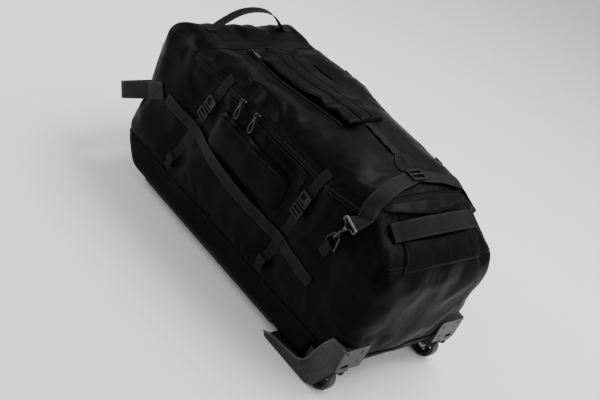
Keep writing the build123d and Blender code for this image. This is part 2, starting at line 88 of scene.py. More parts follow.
# the wheel end's slope, from its lower edge up to its top corner (x, z)
TOP_SEAM_Z = 0.352
SLOPE_TOP = (0.332, 0.456)
WHEEL_END_X = WALL_BOX[1].x
SLOPE = math.atan2(SLOPE_TOP[1] - TOP_SEAM_Z, WHEEL_END_X - SLOPE_TOP[0])

# ---------------------------------------------------------------- camera, floor and light
CAMERA_PLACE = (1.419, -1.994, 1.558)
CAMERA_AIM = (0.040, -0.004, 0.194)
CAMERA_ROLL = math.radians(27.2)
LENS = 67.5


def make_camera():
    data = bpy.data.cameras.new("camera")
    data.lens = LENS
    camera = bpy.data.objects.new("camera", data)
    bpy.context.scene.collection.objects.link(camera)
    camera.location = CAMERA_PLACE
    forward = Vector(CAMERA_AIM) - Vector(CAMERA_PLACE)
    level = forward.to_track_quat("-Z", "Y")
    camera.rotation_mode = "QUATERNION"
    camera.rotation_quaternion = level @ Quaternion((0, 0, 1), CAMERA_ROLL)
    bpy.context.scene.camera = camera


def area_light(name, place, aim, size, power):
    data = bpy.data.lights.new(name, "AREA")
    data.shape = "RECTANGLE"
    data.size, data.size_y = size
    data.energy = power
    light = bpy.data.objects.new(name, data)
    bpy.context.scene.collection.objects.link(light)
    light.location = place
    light.rotation_mode = "QUATERNION"
    light.rotation_quaternion = (Vector(aim) - Vector(place)).to_track_quat("-Z", "Y")


def make_stage():
    half = 9.0
    mesh = bpy.data.meshes.new("floor")
    corners = [(-half, -half, 0), (half, -half, 0), (half, half, 0), (-half, half, 0)]
    mesh.from_pydata(corners, [], [(0, 1, 2, 3)])
    floor = bpy.data.objects.new("floor", mesh)
    bpy.context.scene.collection.objects.link(floor)
    material = bpy.data.materials.new("floor")
    material.use_nodes = True
    shader = material.node_tree.nodes["Principled BSDF"]
    shader.inputs["Base Color"].default_value = (0.92, 0.92, 0.92, 1)
    shader.inputs["Roughness"].default_value = 0.9
    mesh.materials.append(material)
    world = bpy.data.worlds.new("studio")
    world.use_nodes = True
    world.node_tree.nodes["Background"].inputs["Color"].default_value = (1, 1, 1, 1)
    world.node_tree.nodes["Background"].inputs["Strength"].default_value = 0.55
    bpy.context.scene.world = world
    area_light("overhead", (0.3, 1.0, 2.6), (0.1, 0, 0.3), (2.4, 1.4), 96)
    area_light("handle_side", (-2.4, -1.3, 1.2), (-0.2, 0, 0.25), (1.2, 1.6), 52)
    area_light("wheel_side", (2.6, 0.6, 1.5), (0.3, 0, 0.3), (1.2, 1.6), 30)


# ---------------------------------------------------------------- materials
class Shader:
    """One material's node tree."""

    def __init__(self, name):
        self.material = bpy.data.materials.new(name)
        self.material.use_nodes = True
        self.nodes = self.material.node_tree.nodes
        self.links = self.material.node_tree.links
        self.main = self.nodes["Principled BSDF"]
        self.height = None

    def node(self, kind, values=None, **settings):
        made = self.nodes.new("ShaderNode" + kind)
        for key, value in settings.items():
            setattr(made, key, value)
        for key, value in (values or {}).items():
            if isinstance(value, bpy.types.NodeSocket):
                self.links.new(value, made.inputs[key])
            else:
                made.inputs[key].default_value = value
        return made

    def constants(self, **values):
        for key, value in values.items():
            self.main.inputs[key.replace("_", " ")].default_value = value

    def place(self):
        return self.node("TexCoord").outputs["Object"]

    def along(self):
        return self.node("TexCoord").outputs["UV"]

    def noise(self, where, scale, detail, rough=0.55):
        values = {"Vector": where, "Scale": scale, "Detail": detail, "Roughness": rough}
        return self.node("TexNoise", values).outputs["Fac"]

    def ramp(self, fac, low, high):
        made = self.node("ValToRGB", {"Fac": fac})
        for stop, position, colour in zip(made.color_ramp.elements, (0.35, 0.65), (low, high)):
            stop.position = position
            stop.color = (*colour, 1)
        return made.outputs["Color"]

    def spread(self, fac, low, high):
        values = {"Value": fac, "To Min": low, "To Max": high}
        return self.node("MapRange", values).outputs["Result"]

    def colour(self, socket):
        self.links.new(socket, self.main.inputs["Base Color"])

    def roughness(self, socket):
        self.links.new(socket, self.main.inputs["Roughness"])

    def bump(self, fac, distance, strength):
        values = {"Height": fac, "Distance": distance, "Strength": strength}
        if self.height is not None:
            values["Normal"] = self.height
        self.height = self.node("Bump", values).outputs["Normal"]
        self.links.new(self.height, self.main.inputs["Normal"])

    def waves(self, where, pitch, turn):
        """Fine parallel threads of one pitch, turned about each axis."""
        values = {"Vector": where, "Rotation": turn}
        turned = self.node("Mapping", values).outputs["Vector"]
        # a wave texture's bands repeat every 2 pi / 20 units at scale 1
        scale = 2 * math.pi / (20 * pitch)
        values = {"Vector": turned, "Scale": scale, "Distortion": 0.3, "Detail Scale": 0.4}
        return self.node("TexWave", values, bands_direction="X").outputs["Fac"]


WEAVE_PITCH = 1.5 * MM


def fabric(name, dark, light, rough, crumple, coat):
    """Coated woven fabric: soft colour drift, fine weave and creases."""
    shader = Shader(name)
    where = shader.place()
    drift = shader.noise(where, 9.0, 5.0)
    shader.colour(shader.ramp(drift, dark, light))
    grain = shader.noise(where, 55.0, 6.0, 0.7)
    shader.roughness(shader.spread(grain, rough - 0.09, rough + 0.12))
    shader.bump(shader.noise(where, 34.0, 5.0, 0.6), crumple, 0.55)
    warp = shader.waves(where, WEAVE_PITCH, (0, 0, 0.0))
    weft = shader.waves(where, WEAVE_PITCH, (0, math.radians(90), math.radians(30)))
    cloth = shader.node("Math", {0: warp, 1: weft}, operation="MULTIPLY").outputs["Value"]
    shader.bump(cloth, 0.12 * MM, 0.5)
    shader.constants(Coat_Weight=coat, Coat_Roughness=0.3, Specular_IOR_Level=0.035)
    return shader.material


def webbing_material(name, dark, light):
    """Ribbed webbing: threads across the strap and rolled edges, drawn along its own length."""
    shader = Shader(name)
    along = shader.along()
    where = shader.place()
    shader.colour(shader.ramp(shader.noise(where, 60.0, 5.0), dark, light))
    shader.roughness(shader.spread(shader.noise(where, 240.0, 3.0), 0.5, 0.72))
    rib = shader.waves(along, 1.6 * MM, (0, 0, 0))
    twill = shader.waves(along, 2.4 * MM, (0, 0, math.radians(58)))
    shader.bump(rib, 0.22 * MM, 0.75)
    shader.bump(twill, 0.16 * MM, 0.6)
    shader.constants(Specular_IOR_Level=0.1)
    return shader.material


def moulded(name, dark, light, rough, grain, coat, wear):
    """Moulded plastic with a spark-eroded grain, edges rubbed lighter by use."""
    shader = Shader(name)
    where = shader.place()
    body = shader.ramp(shader.noise(where, 22.0, 4.0), dark, light)
    edge = shader.node("NewGeometry").outputs["Pointiness"]
    rubbed = shader.node("MapRange", {"Value": edge, "From Min": 0.52, "From Max": 0.60})
    scuffs = shader.noise(where, 140.0, 4.0, 0.7)
    amount = shader.node("Math", {0: rubbed.outputs["Result"], 1: scuffs}, operation="MULTIPLY")
    values = {0: amount.outputs["Value"], 6: body, 7: (*wear, 1)}
    mixed = shader.node("Mix", values, data_type="RGBA")
    shader.colour(mixed.outputs[2])
    shader.roughness(shader.spread(scuffs, rough - 0.06, rough + 0.1))
    shader.bump(shader.noise(where, 1600.0, 2.0), grain, 0.5)
    shader.constants(Coat_Weight=coat, Coat_Roughness=0.2, Specular_IOR_Level=0.14)
    return shader.material


def metal(name, dark, light, rough):
    """Plated or bare metal with fine scratches."""
    shader = Shader(name)
    where = shader.place()
    shader.colour(shader.ramp(shader.noise(where, 90.0, 5.0), dark, light))
    shader.roughness(shader.spread(shader.noise(where, 420.0, 4.0, 0.7), rough - 0.08, rough + 0.14))
    shader.bump(shader.noise(where, 900.0, 3.0), 0.05 * MM, 0.3)
    shader.constants(Metallic=1.0)
    return shader.material


def rubber(name, dark, light, rough, grain):
    shader = Shader(name)
    where = shader.place()
    shader.colour(shader.ramp(shader.noise(where, 70.0, 5.0), dark, light))
    shader.roughness(shader.spread(shader.noise(where, 260.0, 4.0), rough - 0.08, rough + 0.1))
    shader.bump(shader.noise(where, 700.0, 3.0), grain, 0.5)
    return shader.material


def grey(value):
    """A near-black or grey with a slight blue cast."""
    return (value, value, value * 1.04)


# each slot's darkest and lightest grey and roughness, then what its kind of finish takes besides
FABRICS = {  # crumple in mm, coat
    "coated_fabric": (0.0018, 0.0034, 0.42, 1.2, 0.0),
    "lid_fabric": (0.0020, 0.0038, 0.38, 1.1, 0.01),
    "pocket_fabric": (0.0012, 0.0022, 0.34, 0.7, 0.01),
    "piping": (0.0018, 0.0036, 0.50, 0.2, 0.0),
}
MOULDINGS = {  # grain in mm, coat, grey of the worn edges
    "zip_coil": (0.002, 0.004, 0.35, 0.02, 0.05, 0.02),
    "guard_plastic": (0.0050, 0.0090, 0.36, 0.06, 0.06, 0.05),
    "buckle_plastic": (0.003, 0.006, 0.30, 0.03, 0.06, 0.03),
    "hub_plastic": (0.010, 0.018, 0.36, 0.05, 0.1, 0.08),
    "grip_plastic": (0.008, 0.013, 0.50, 0.08, 0.0, 0.06),
    "button_plastic": (0.03, 0.045, 0.35, 0.03, 0.1, 0.12),
    "board_plastic": (0.02, 0.03, 0.50, 0.1, 0.0, 0.08),
}
METALS = {
    "zip_metal": (0.03, 0.07, 0.34),
    "hook_steel": (0.03, 0.08, 0.34),
    "screw_steel": (0.05, 0.10, 0.35),
    "axle_steel": (0.42, 0.55, 0.28),
    "tube_alloy": (0.40, 0.50, 0.30),
}
RUBBERS = {  # grain in mm
    "pull_rubber": (0.012, 0.024, 0.42, 0.05),
    "tyre_rubber": (0.004, 0.008, 0.45, 0.12),
    "thread": (0.007, 0.013, 0.60, 0.02),
}


def make_materials():
    """One Blender material for each of the record's slots, and one for sewing thread."""
    made = {"webbing": webbing_material("webbing", grey(0.0030), grey(0.0056))}
    for name, (dark, light, rough, crumple, coat) in FABRICS.items():
        made[name] = fabric(name, grey(dark), grey(light), rough, crumple * MM, coat)
    for name, (dark, light, rough, grain, coat, wear) in MOULDINGS.items():
        made[name] = moulded(name, grey(dark), grey(light), rough, grain * MM, coat, grey(wear))
    for name, (dark, light, rough) in METALS.items():
        made[name] = metal(name, grey(dark), grey(light), rough)
    for name, (dark, light, rough, grain) in RUBBERS.items():
        made[name] = rubber(name, grey(dark), grey(light), rough, grain * MM)
    return made


# ---------------------------------------------------------------- mesh helpers
def piece(name, shape, body, slot, material=None, smooth=True):
    """A mesh object of (verts, faces) or (verts, faces, uv) in a slot's finish, on a body if one is named."""
    verts, faces, *uv = shape
    mesh = bpy.data.meshes.new(name)
    mesh.from_pydata([tuple(v) for v in verts], [], [tuple(f) for f in faces])
    mesh.polygons.foreach_set("use_smooth", [smooth] * len(mesh.polygons))
    if uv:
        layer = mesh.uv_layers.new(name="length_and_width")
        corners = np.array([uv[0][loop.vertex_index] for loop in mesh.loops], np.float32)
        layer.data.foreach_set("uv", corners.ravel())
    mesh.materials.append(material or MATERIALS[slot])
    obj = bpy.data.objects.new(name, mesh)
    bpy.context.scene.collection.objects.link(obj)
    if body:
        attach(obj, body)
    return obj


def smoothstep(value, low, high):
    t = np.clip((np.asarray(value, float) - low) / (high - low), 0, 1)
    return t * t * (3 - 2 * t)


def bump_at(distance, reach):
    """1 on a line, falling to 0 a reach away."""
    return np.exp(-(np.asarray(distance) / reach) ** 2)


def gather(parts):
    """Joins several (verts, faces) into one."""
    verts, faces = [], []
    for more, quads in parts:
        start = len(verts)
        verts += list(more)
        faces += [[start + i for i in face] for face in quads]
    return verts, faces


def spline(points, spacing):
    """Points along a smooth curve through the given ones, about one spacing apart."""
    points = [Vector(p) for p in points]
    ends = [2 * points[0] - points[1], *points, 2 * points[-1] - points[-2]]
    made = []
    for a, b, c, d in zip(ends, ends[1:], ends[2:], ends[3:]):
        count = max(1, round((c - b).length / spacing))
        for i in range(count):
            t = i / count
            made.append(
                0.5 * (2 * b + (c - a) * t + (2 * a - 5 * b + 4 * c - d) * t ** 2
                       + (3 * b - a - 3 * c + d) * t ** 3)
            )
    return made + [points[-1]]


def tube(points, radius, sides, closed=False):
    """Round tube along points, as (verts, faces)."""
    points = [Vector(p) for p in points]
    count = len(points)
    verts, faces = [], []
    last = None
    for i, p in enumerate(points):
        before = points[(i - 1) % count] if closed or i else p
        after = points[(i + 1) % count] if closed or i < count - 1 else p
        run = (after - before).normalized()
        if last is None:
            last = run.orthogonal().normalized()
        last = (last - run * last.dot(run)).normalized()
        other = run.cross(last)
        for k in range(sides):
            a = 2 * math.pi * k / sides
            verts.append(p + radius * (math.cos(a) * last + math.sin(a) * other))
    for i in range(count if closed else count - 1):
        low, high = i * sides, ((i + 1) % count) * sides
        for k in range(sides):
            n = (k + 1) % sides
            faces.append((low + k, low + n, high + n, high + k))
    if not closed:
        faces.append(tuple(reversed(range(sides))))
        faces.append(tuple(range((count - 1) * sides, count * sides)))
    return verts, faces


STITCH = {"pitch": 3.6 * MM, "length": 2.7 * MM, "radius": 0.38 * MM}


def stitches(path, lift=0.0, normals=None):
    """A row of thread stitches along points, as (verts, faces): short bars that dip at each end."""
    path = [Vector(p) for p in path]
    normals = normals or [Vector((0, 0, 0))] * len(path)
    lengths = [0.0]
    for a, b in zip(path, path[1:]):
        lengths.append(lengths[-1] + (b - a).length)
    total = lengths[-1]
    parts = []
    at = 0
    for i in range(int(total / STITCH["pitch"])):
        ends = []
        for s in (i * STITCH["pitch"], i * STITCH["pitch"] + STITCH["length"]):
            while at < len(lengths) - 2 and lengths[at + 1] < s:
                at += 1
            share = (s - lengths[at]) / max(lengths[at + 1] - lengths[at], 1e-9)
            ends.append(path[at].lerp(path[at + 1], share) + normals[at] * lift)
        middle = (ends[0] + ends[1]) / 2 + normals[at] * 0.25 * MM
        parts.append(tube([ends[0], middle, ends[1]], STITCH["radius"], 4))
    return gather(parts)


def swept(rows, profile, size=None):
    """A closed form with one profile of (across, up), drawn along rows; size(share) scales its height."""
    verts, uv, faces = [], [], []
    length = 0.0
    count = len(profile)
    for i, (p, across, normal) in enumerate(rows):
        if i:
            length += (p - rows[i - 1][0]).length
        tall = size(i / (len(rows) - 1)) if size else 1.0
        for a, n in profile:
            verts.append(p + across * a + normal * n * tall)
            uv.append((length, a))
    for i in range(len(rows) - 1):
        low, high = i * count, (i + 1) * count
        for k in range(count):
            n = (k + 1) % count
            faces.append((low + k, high + k, high + n, low + n))
    faces.append(tuple(range(count)))
    faces.append(tuple(reversed(range((len(rows) - 1) * count, len(rows) * count))))
    return verts, faces, uv


def strap_solid(rows, width, thickness):
    """Flat webbing along rows of (point, across, normal): softly rounded edges, uv in metres."""
    half, t = width / 2, thickness / 2
    profile = [
        (-half, 0), (-half + 0.5 * t, t * 0.75), (-half + 2 * t, t), (-half / 3, t * 0.92),
        (half / 3, t * 0.92), (half - 2 * t, t), (half - 0.5 * t, t * 0.75), (half, 0),
        (half - 0.5 * t, -t * 0.75), (half - 2 * t, -t), (-half + 2 * t, -t),
        (-half + 0.5 * t, -t * 0.75),
    ]
    return swept(rows, profile)


def thread(name, lines, body):
    """Rows of stitches as one piece."""
    piece(name, gather(lines), body, "webbing", MATERIALS["thread"])


def ribbon(name, rows, profile, body, slot, material=None):
    """A strip along rows, of one profile given in mm."""
    return piece(name, swept(rows, [(a * MM, n * MM) for a, n in profile]), body, slot, material)


def sewn_strap(name, rows, width, thickness, body, replaced, rows_in=(2.2 * MM, 4.2 * MM)):
    """Webbing with rows of stitches beside both edges, in place of CAD nodes if any are named."""
    strap = piece(name, strap_solid(rows, width, thickness), body, "webbing")
    lines = []
    for inset in rows_in:
        for edge in (-1, 1):
            line = [p + across * edge * (width / 2 - inset) for p, across, _ in rows]
            lines.append(stitches(line, thickness / 2, [normal for _, _, normal in rows]))
    thread(name + "_thread", lines, body)
    if replaced:
        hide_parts(*replaced)


# ---------------------------------------------------------------- soft body
GRID_STEP = 9.5 * MM
# box inside the body, from which the grid's rays run out to the skin
CORE_LOW = Vector((-0.330, -0.150, 0.080))
CORE_HIGH = Vector((0.360, 0.150, 0.418))


def lattice(low, high, stops):
    """Values from low to high that pass through every stop, about one grid step apart."""
    marks = sorted({low, high, *stops})
    values = []
    for a, b in zip(marks, marks[1:]):
        count = max(1, round((b - a) / GRID_STEP))
        values += [a + (b - a) * i / count for i in range(count)]
    return values + [high]


def skin_tree(nodes):
    """One search tree over several CAD nodes."""
    verts, faces = [], []
    for name in nodes:
        mesh = frame["nodes"][name].data
        start = len(verts)
        verts += [v.co.copy() for v in mesh.vertices]
        faces += [[start + i for i in p.vertices] for p in mesh.polygons]
    return BVHTree.FromPolygons(verts, faces)


def body_grid():
    """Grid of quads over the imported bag's outer surface: vertices and faces."""
    tree = skin_tree(["tub_shell", "wall_shell", "lid_shell"])
    low = Vector((min(TUB_BOX[0].x, WALL_BOX[0].x), -HALF_WIDTH, TUB_BOX[0].z))
    high = Vector((WHEEL_END_X, HALF_WIDTH, LID_BOX[1].z))
    lines = [
        lattice(low.x, high.x, [LID_REAR, LID_FRONT, WELL_X]),
        lattice(low.y, high.y, [-WELL_Y, WELL_Y]),
        lattice(low.z, high.z, [SEAM_Z, LID_Z, WELL_Z]),
    ]
    last = [len(values) - 1 for values in lines]
    index, verts = {}, []

    def corner(key):
        if key not in index:
            q = Vector([lines[a][key[a]] for a in range(3)])
            core = Vector([min(max(q[a], CORE_LOW[a]), CORE_HIGH[a]) for a in range(3)])
            out = (q - core).normalized()
            index[key] = len(verts)
            verts.append(outermost(tree, core, out))
        return index[key]

    faces = []
    for axis in range(3):
        u, v = (axis + 1) % 3, (axis + 2) % 3
        for end in (0, last[axis]):
            for i in range(last[u]):
                for j in range(last[v]):
                    ring = []
                    for du, dv in ((0, 0), (1, 0), (1, 1), (0, 1)):
                        key = [0, 0, 0]
                        key[axis], key[u], key[v] = end, i + du, j + dv
                        ring.append(corner(tuple(key)))
                    faces.append(ring if end else ring[::-1])
    return np.array(verts), np.array(faces)


def outermost(tree, core, out):
    """Where the outer skin lies from a point in the core, seen past the lid's gap."""
    side = out.orthogonal().normalized() * 2.2 * MM
    other = out.cross(side).normalized() * 2.2 * MM
    far = 0.5
    best = 0.0
    for shift in (Vector((0, 0, 0)), side, -side, other, -other):
        _, _, _, distance = tree.ray_cast(core + out * far + shift, -out, 1.0)
        if distance is not None:
            best = max(best, far - distance)
    return core + out * best


def smoothed(verts, faces, rounds):
    """Vertices relaxed towards the mean of their neighbours."""
    edges = np.concatenate([faces[:, [i, (i + 1) % 4]] for i in range(4)])
    verts = verts.copy()
    for _ in range(rounds):
        total = np.zeros_like(verts)
        count = np.zeros(len(verts))
        for a, b in ((0, 1), (1, 0)):
            np.add.at(total, edges[:, a], verts[edges[:, b]])
            np.add.at(count, edges[:, a], 1)
        verts += (total / count[:, None] - verts) * 0.5
    return verts


def vertex_normals(verts, faces):
    diagonal = verts[faces[:, 2]] - verts[faces[:, 0]]
    other = verts[faces[:, 3]] - verts[faces[:, 1]]
    flat = np.cross(diagonal, other)
    normals = np.zeros_like(verts)
    for i in range(4):
        np.add.at(normals, faces[:, i], flat)
    return normals / np.maximum(np.linalg.norm(normals, axis=1), 1e-12)[:, None]


HARDWARE = [
    "zip_slider_rear", "zip_slider_front", "band_zip_slider", "band_zip_pull", "hood_ladder_lock",
    "tube_bezel", "skid_rails", "tow_grip",
] + [
    f"{name}_{side}" for side in SIDES
    for name in (
        "ladder_locks", "strap_hooks", "hook_swivel_base", "snap_hook", "corner_ring", "wheel_guard",
    )
]


def hardware_distance(verts):
    """How far each vertex is from the rigid pieces that lie on the fabric."""
    points = [v.co for name in HARDWARE for v in frame["nodes"][name].data.vertices]
    tree = KDTree(len(points))
    for i, p in enumerate(points):
        tree.insert(p, i)
    tree.balance()
    return np.array([tree.find(Vector(v))[2] for v in verts])


def strap_distance(verts, name):
    """Distance from the strap's centre line, in the plane of the side wall."""
    x, lean = STRAPS[name]
    return np.abs((verts[:, 0] - x) * math.cos(lean) - (verts[:, 2] - STRAP_MID_Z) * math.sin(lean))


def creases(verts, stretch, scale, seed):
    """Fold pattern between -1 and 1: ridges drawn out along one direction."""
    made = np.empty(len(verts))
    for i, v in enumerate(verts):
        p = Vector((v[0] * stretch[0] + seed, v[1] * stretch[1], v[2] * stretch[2])) * scale
        made[i] = 1 - abs(noise.noise(p)) * 3.2
    return np.clip(made, -1, 1)


def seam_share(verts):
    """1 on the body's sewn seams: the base seam, the corners and the wheel end's top seam."""
    x, y, z = verts.T
    base = bump_at(z - SEAM_Z, 7 * MM)
    corner = bump_at(np.hypot(x - (WHEEL_END_X - 6 * MM), np.abs(y) - (HALF_WIDTH - 6 * MM)), 14 * MM)
    brow = TOP_SEAM_Z + 10 * MM * np.cos(np.clip(y / HALF_WIDTH, -1, 1) * math.pi / 2)
    top = bump_at(z - brow, 6 * MM) * smoothstep(x, WHEEL_END_X - 0.05, WHEEL_END_X - 0.02)
    return np.clip(base + corner + top, 0, 1)


# line that the padded band's own zip runs on
BAND_ZIP_Y = -0.068


def kept_clear(verts):
    """1 along the lid's hinge line and the lines that the zip sliders run on."""
    x, y, z = verts.T
    hinge = bump_at(x - LID_REAR, 22 * MM) * (z > 0.42)
    main = bump_at(z - LID_Z, 20 * MM) * (y < -0.17)
    main *= smoothstep(x, -0.20, -0.15) * (1 - smoothstep(x, 0.20, 0.25))
    band = bump_at(y - BAND_ZIP_Y, 24 * MM) * (z > 0.42) * (1 - smoothstep(x, 0.08, 0.12))
    return np.max([hinge, main, band], axis=0)


def sculpt(verts, faces):
    """Pulls the skin in under straps and seams, and folds it where a packed bag folds.

    Gives the moved vertices, and how free each is from the hardware and moving lines near it.
    """
    normals = vertex_normals(verts, faces)
    x, y, z = verts.T
    free = smoothstep(hardware_distance(verts), 12 * MM, 45 * MM) * (1 - kept_clear(verts))
    on_side = smoothstep(np.abs(normals[:, 1]), 0.6, 0.95)
    on_end = smoothstep(np.abs(normals[:, 0]), 0.6, 0.95)
    on_top = smoothstep(normals[:, 2], 0.5, 0.9)
    move = -2.2 * MM * seam_share(verts)
    for name in STRAPS:
        grip = bump_at(strap_distance(verts, name), 17 * MM) * on_side
        move -= 4.5 * MM * grip * smoothstep(z, 0.10, 0.16)
    # broad, shallow slumps, and finer folds along the sides and the top
    slump = np.array([noise.noise(Vector(v) * 5.2 + Vector((3.1, 0, 7.7))) for v in verts])
    move += 4.0 * MM * slump * free
    along = creases(verts, (0.6, 1.0, 1.8), 7.0, 2.0)
    upright = creases(verts, (2.2, 1.0, 0.7), 6.0, 9.0)
    lengthwise = creases(verts, (0.8, 2.4, 1.0), 6.0, 5.0)
    low = smoothstep(z, SEAM_Z, SEAM_Z + 0.03)
    move += 2.6 * MM * along * free * on_side * low
    move += 2.2 * MM * upright * free * on_side * low
    move += 2.4 * MM * lengthwise * free * on_top
    move += 3.2 * MM * creases(verts, (1.0, 1.6, 1.6), 7.0, 4.0) * free * on_end
    # the hood strap draws the wheel end's shoulders in
    drawn = smoothstep(x, 0.24, 0.38) * smoothstep(z, 0.29, 0.42) * smoothstep(np.abs(y), 0.08, 0.19)
    verts = verts + drawn[:, None] * np.stack([-0.012 + 0 * x, -0.027 * np.sign(y), -0.012 + 0 * x], 1)
    # clothes packed behind the middle swell the top edges
    swell = bump_at(x + 0.10, 0.17) * smoothstep(z, 0.36, 0.43) * smoothstep(np.abs(y), 0.09, 0.17)
    verts = verts + (swell * free)[:, None] * np.stack([0 * x, 0.007 * np.sign(y), 0.011 + 0 * x], 1)
    # the lower corner of the wheel end is pulled into a fold above each guard
    fold = bump_at(z - (0.155 + 0.35 * (WHEEL_END_X - x)), 12 * MM)
    fold *= smoothstep(np.abs(y), 0.10, 0.16) * smoothstep(x, 0.36, 0.44)
    move += 5.0 * MM * fold
    return verts + normals * move[:, None], free


PUFF = {"frames": 18, "pressure": 3.0, "growth": -0.012, "limit": 9 * MM}


def puff(verts, faces, held):
    """Cloth simulation under pressure with held seams: the panels swell and wrinkle between them."""
    mesh = bpy.data.meshes.new("puff")
    mesh.from_pydata(verts.tolist(), [], faces.tolist())
    obj = bpy.data.objects.new("puff", mesh)
    scene = bpy.context.scene
    scene.collection.objects.link(obj)
    group = obj.vertex_groups.new(name="held")
    for i, weight in enumerate(held):
        if weight > 0.02:
            group.add([i], float(weight), "REPLACE")
    cloth = obj.modifiers.new("cloth", "CLOTH")
    settings = cloth.settings
    settings.quality = 6
    settings.mass = 0.35
    settings.tension_stiffness = 18
    settings.compression_stiffness = 12
    settings.shear_stiffness = 6
    settings.bending_stiffness = 0.8
    settings.use_pressure = True
    settings.uniform_pressure_force = PUFF["pressure"]
    settings.shrink_min = PUFF["growth"]
    settings.vertex_group_mass = "held"
    settings.effector_weights.gravity = 0
    cloth.collision_settings.use_collision = False
    cloth.point_cache.frame_start = 1
    cloth.point_cache.frame_end = PUFF["frames"]
    for number in range(1, PUFF["frames"] + 1):
        scene.frame_set(number)
    ready = obj.evaluated_get(bpy.context.evaluated_depsgraph_get())
    moved = np.array([v.co for v in ready.data.vertices])
    scene.frame_set(1)
    bpy.data.objects.remove(obj)
    bpy.data.meshes.remove(mesh)
    step = moved - verts
    reach = np.linalg.norm(step, axis=1)
    step *= (np.minimum(reach, PUFF["limit"]) / np.maximum(reach, 1e-9))[:, None]
    return verts + step


def refined(verts, faces):
    """One level of subdivision."""
    mesh = bpy.data.meshes.new("refine")
    mesh.from_pydata(verts.tolist(), [], faces.tolist())
    obj = bpy.data.objects.new("refine", mesh)
    bpy.context.scene.collection.objects.link(obj)
    obj.modifiers.new("subdivision", "SUBSURF").levels = 1
    ready = obj.evaluated_get(bpy.context.evaluated_depsgraph_get()).to_mesh()
    fine = np.array([v.co for v in ready.vertices])
    quads = np.array([tuple(p.vertices) for p in ready.polygons])
    bpy.data.objects.remove(obj)
    bpy.data.meshes.remove(mesh)
    return fine, quads


def shell(name, verts, faces, normals, keep, body, slot, replaced):
    """One panel of the skin as a closed shell of fabric: outside, inside and rim."""
    chosen = faces[keep]
    used = np.unique(chosen)
    place = {v: i for i, v in enumerate(used)}
    outer = [[place[v] for v in face] for face in chosen]
    count = len(used)
    edges = {}
    for face in outer:
        for a, b in zip(face, face[1:] + face[:1]):
            edges[(a, b)] = True
    rim = [(b, a, a + count, b + count) for a, b in edges if (b, a) not in edges]
    inner = [[v + count for v in reversed(face)] for face in outer]
    points = np.concatenate([verts[used], verts[used] - normals[used] * SKIN])
    obj = piece(name, (points, outer + inner + rim), body, slot)
    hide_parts(replaced)


def make_soft_body():
    """Tub, walls and lid of one continuous skin, so that their edges meet; gives a search tree over it."""
    verts, faces = body_grid()
    verts = smoothed(verts, faces, 5)
    verts, free = sculpt(verts, faces)
    x, y, z = verts.T
    edge = np.minimum(np.abs(z - LID_Z), np.abs(x - LID_REAR))
    edge = np.where(z < LID_Z - 2 * MM, LID_Z - z, np.minimum(edge, np.abs(x - LID_FRONT)))
    held = np.maximum(1 - free, seam_share(verts))
    held = np.maximum(held, bump_at(edge, 7 * MM))
    for name in STRAPS:
        held = np.maximum(held, bump_at(strap_distance(verts, name), 12 * MM) * (np.abs(y) > 0.18))
    held = np.maximum(held, z < SEAM_Z - 0.02)
    verts = puff(verts, faces, np.clip(held, 0, 1))
    verts, faces = refined(verts, faces)
    normals = vertex_normals(verts, faces)
    middle = verts[faces].mean(1)
    x, y, z = middle.T
    in_well = (x > WELL_X) & (np.abs(y) > WELL_Y) & (z < WELL_Z)
    tub = (z < SEAM_Z) & ~in_well
    lid = (z > LID_Z) & (x > LID_REAR) & (x < LID_FRONT)
    shell("tub_fabric", verts, faces, normals, tub, "bag", "coated_fabric", "tub_shell")
    walls = ~tub & ~lid & ~in_well
    shell("wall_fabric", verts, faces, normals, walls, "bag", "coated_fabric", "wall_shell")
    shell("lid_fabric", verts, faces, normals, lid, "lid", "lid_fabric", "lid_shell")
    return BVHTree.FromPolygons([Vector(v) for v in verts], [list(f) for f in faces])


def surface(point, out, lift=0.0):
    """The point on the fabric below a place, seen along a direction, lifted by a distance."""
    out = Vector(out).normalized()
    hit, _, _, _ = FABRIC.ray_cast(Vector(point) + out * 0.3, -out, 0.6)
    if hit is None:
        return Vector(point)
    return hit + out * lift


def surface_normal(point, out):
    out = Vector(out).normalized()
    _, normal, _, _ = FABRIC.ray_cast(Vector(point) + out * 0.3, -out, 0.6)
    if normal is None:
        return out
    return normal if normal.dot(out) > 0 else -normal


# ---------------------------------------------------------------- webbing on the sides
THICK = 2 * MM
STRAP_WIDTH = 25 * MM
HAUL_WIDTH = 30 * MM
END_WIDTH = 45 * MM
# how far webbing stands off the fabric: lying on it, and over another layer
LOW_LAYER = 1.4 * MM
MID_LAYER = 4.6 * MM
# where the upper side straps start
UPPER_STRAP_Z = 0.357


def plane_rows(points, across, toward=None):
    """Rows for webbing through free points, one fixed direction across it; toward(p) picks its face."""
    rows = []
    for i, p in enumerate(points):
        run = points[min(i + 1, len(points) - 1)] - points[max(i - 1, 0)]
        normal = across.cross(run).normalized()
        if toward and normal.dot(toward(p)) <= 0:
            normal = -normal
        rows.append((p, across, normal))
    return rows


def side_rows(origin, lean, route, side):
    """Strap rows on a side wall. route is (along, out): out up to 2 mm means lying on the fabric."""
    up = Vector((math.sin(lean), 0, math.cos(lean)))
    across = Vector((-math.cos(lean), 0, math.sin(lean)))
    normal = Vector((0, side, 0))
    base = Vector((origin[0], 0, origin[1]))
    points = []
    for p in spline([(u, 0, w) for u, w in route], 5 * MM):
        at = base + up * p.x + normal * (HALF_WIDTH + p.z)
        lying = surface(at, normal, THICK / 2 + 0.5 * MM)
        at.y = side * max(abs(lying.y), HALF_WIDTH + p.z) if p.z > 2 * MM else lying.y
        points.append(at)
    return plane_rows(points, across, lambda p: normal)


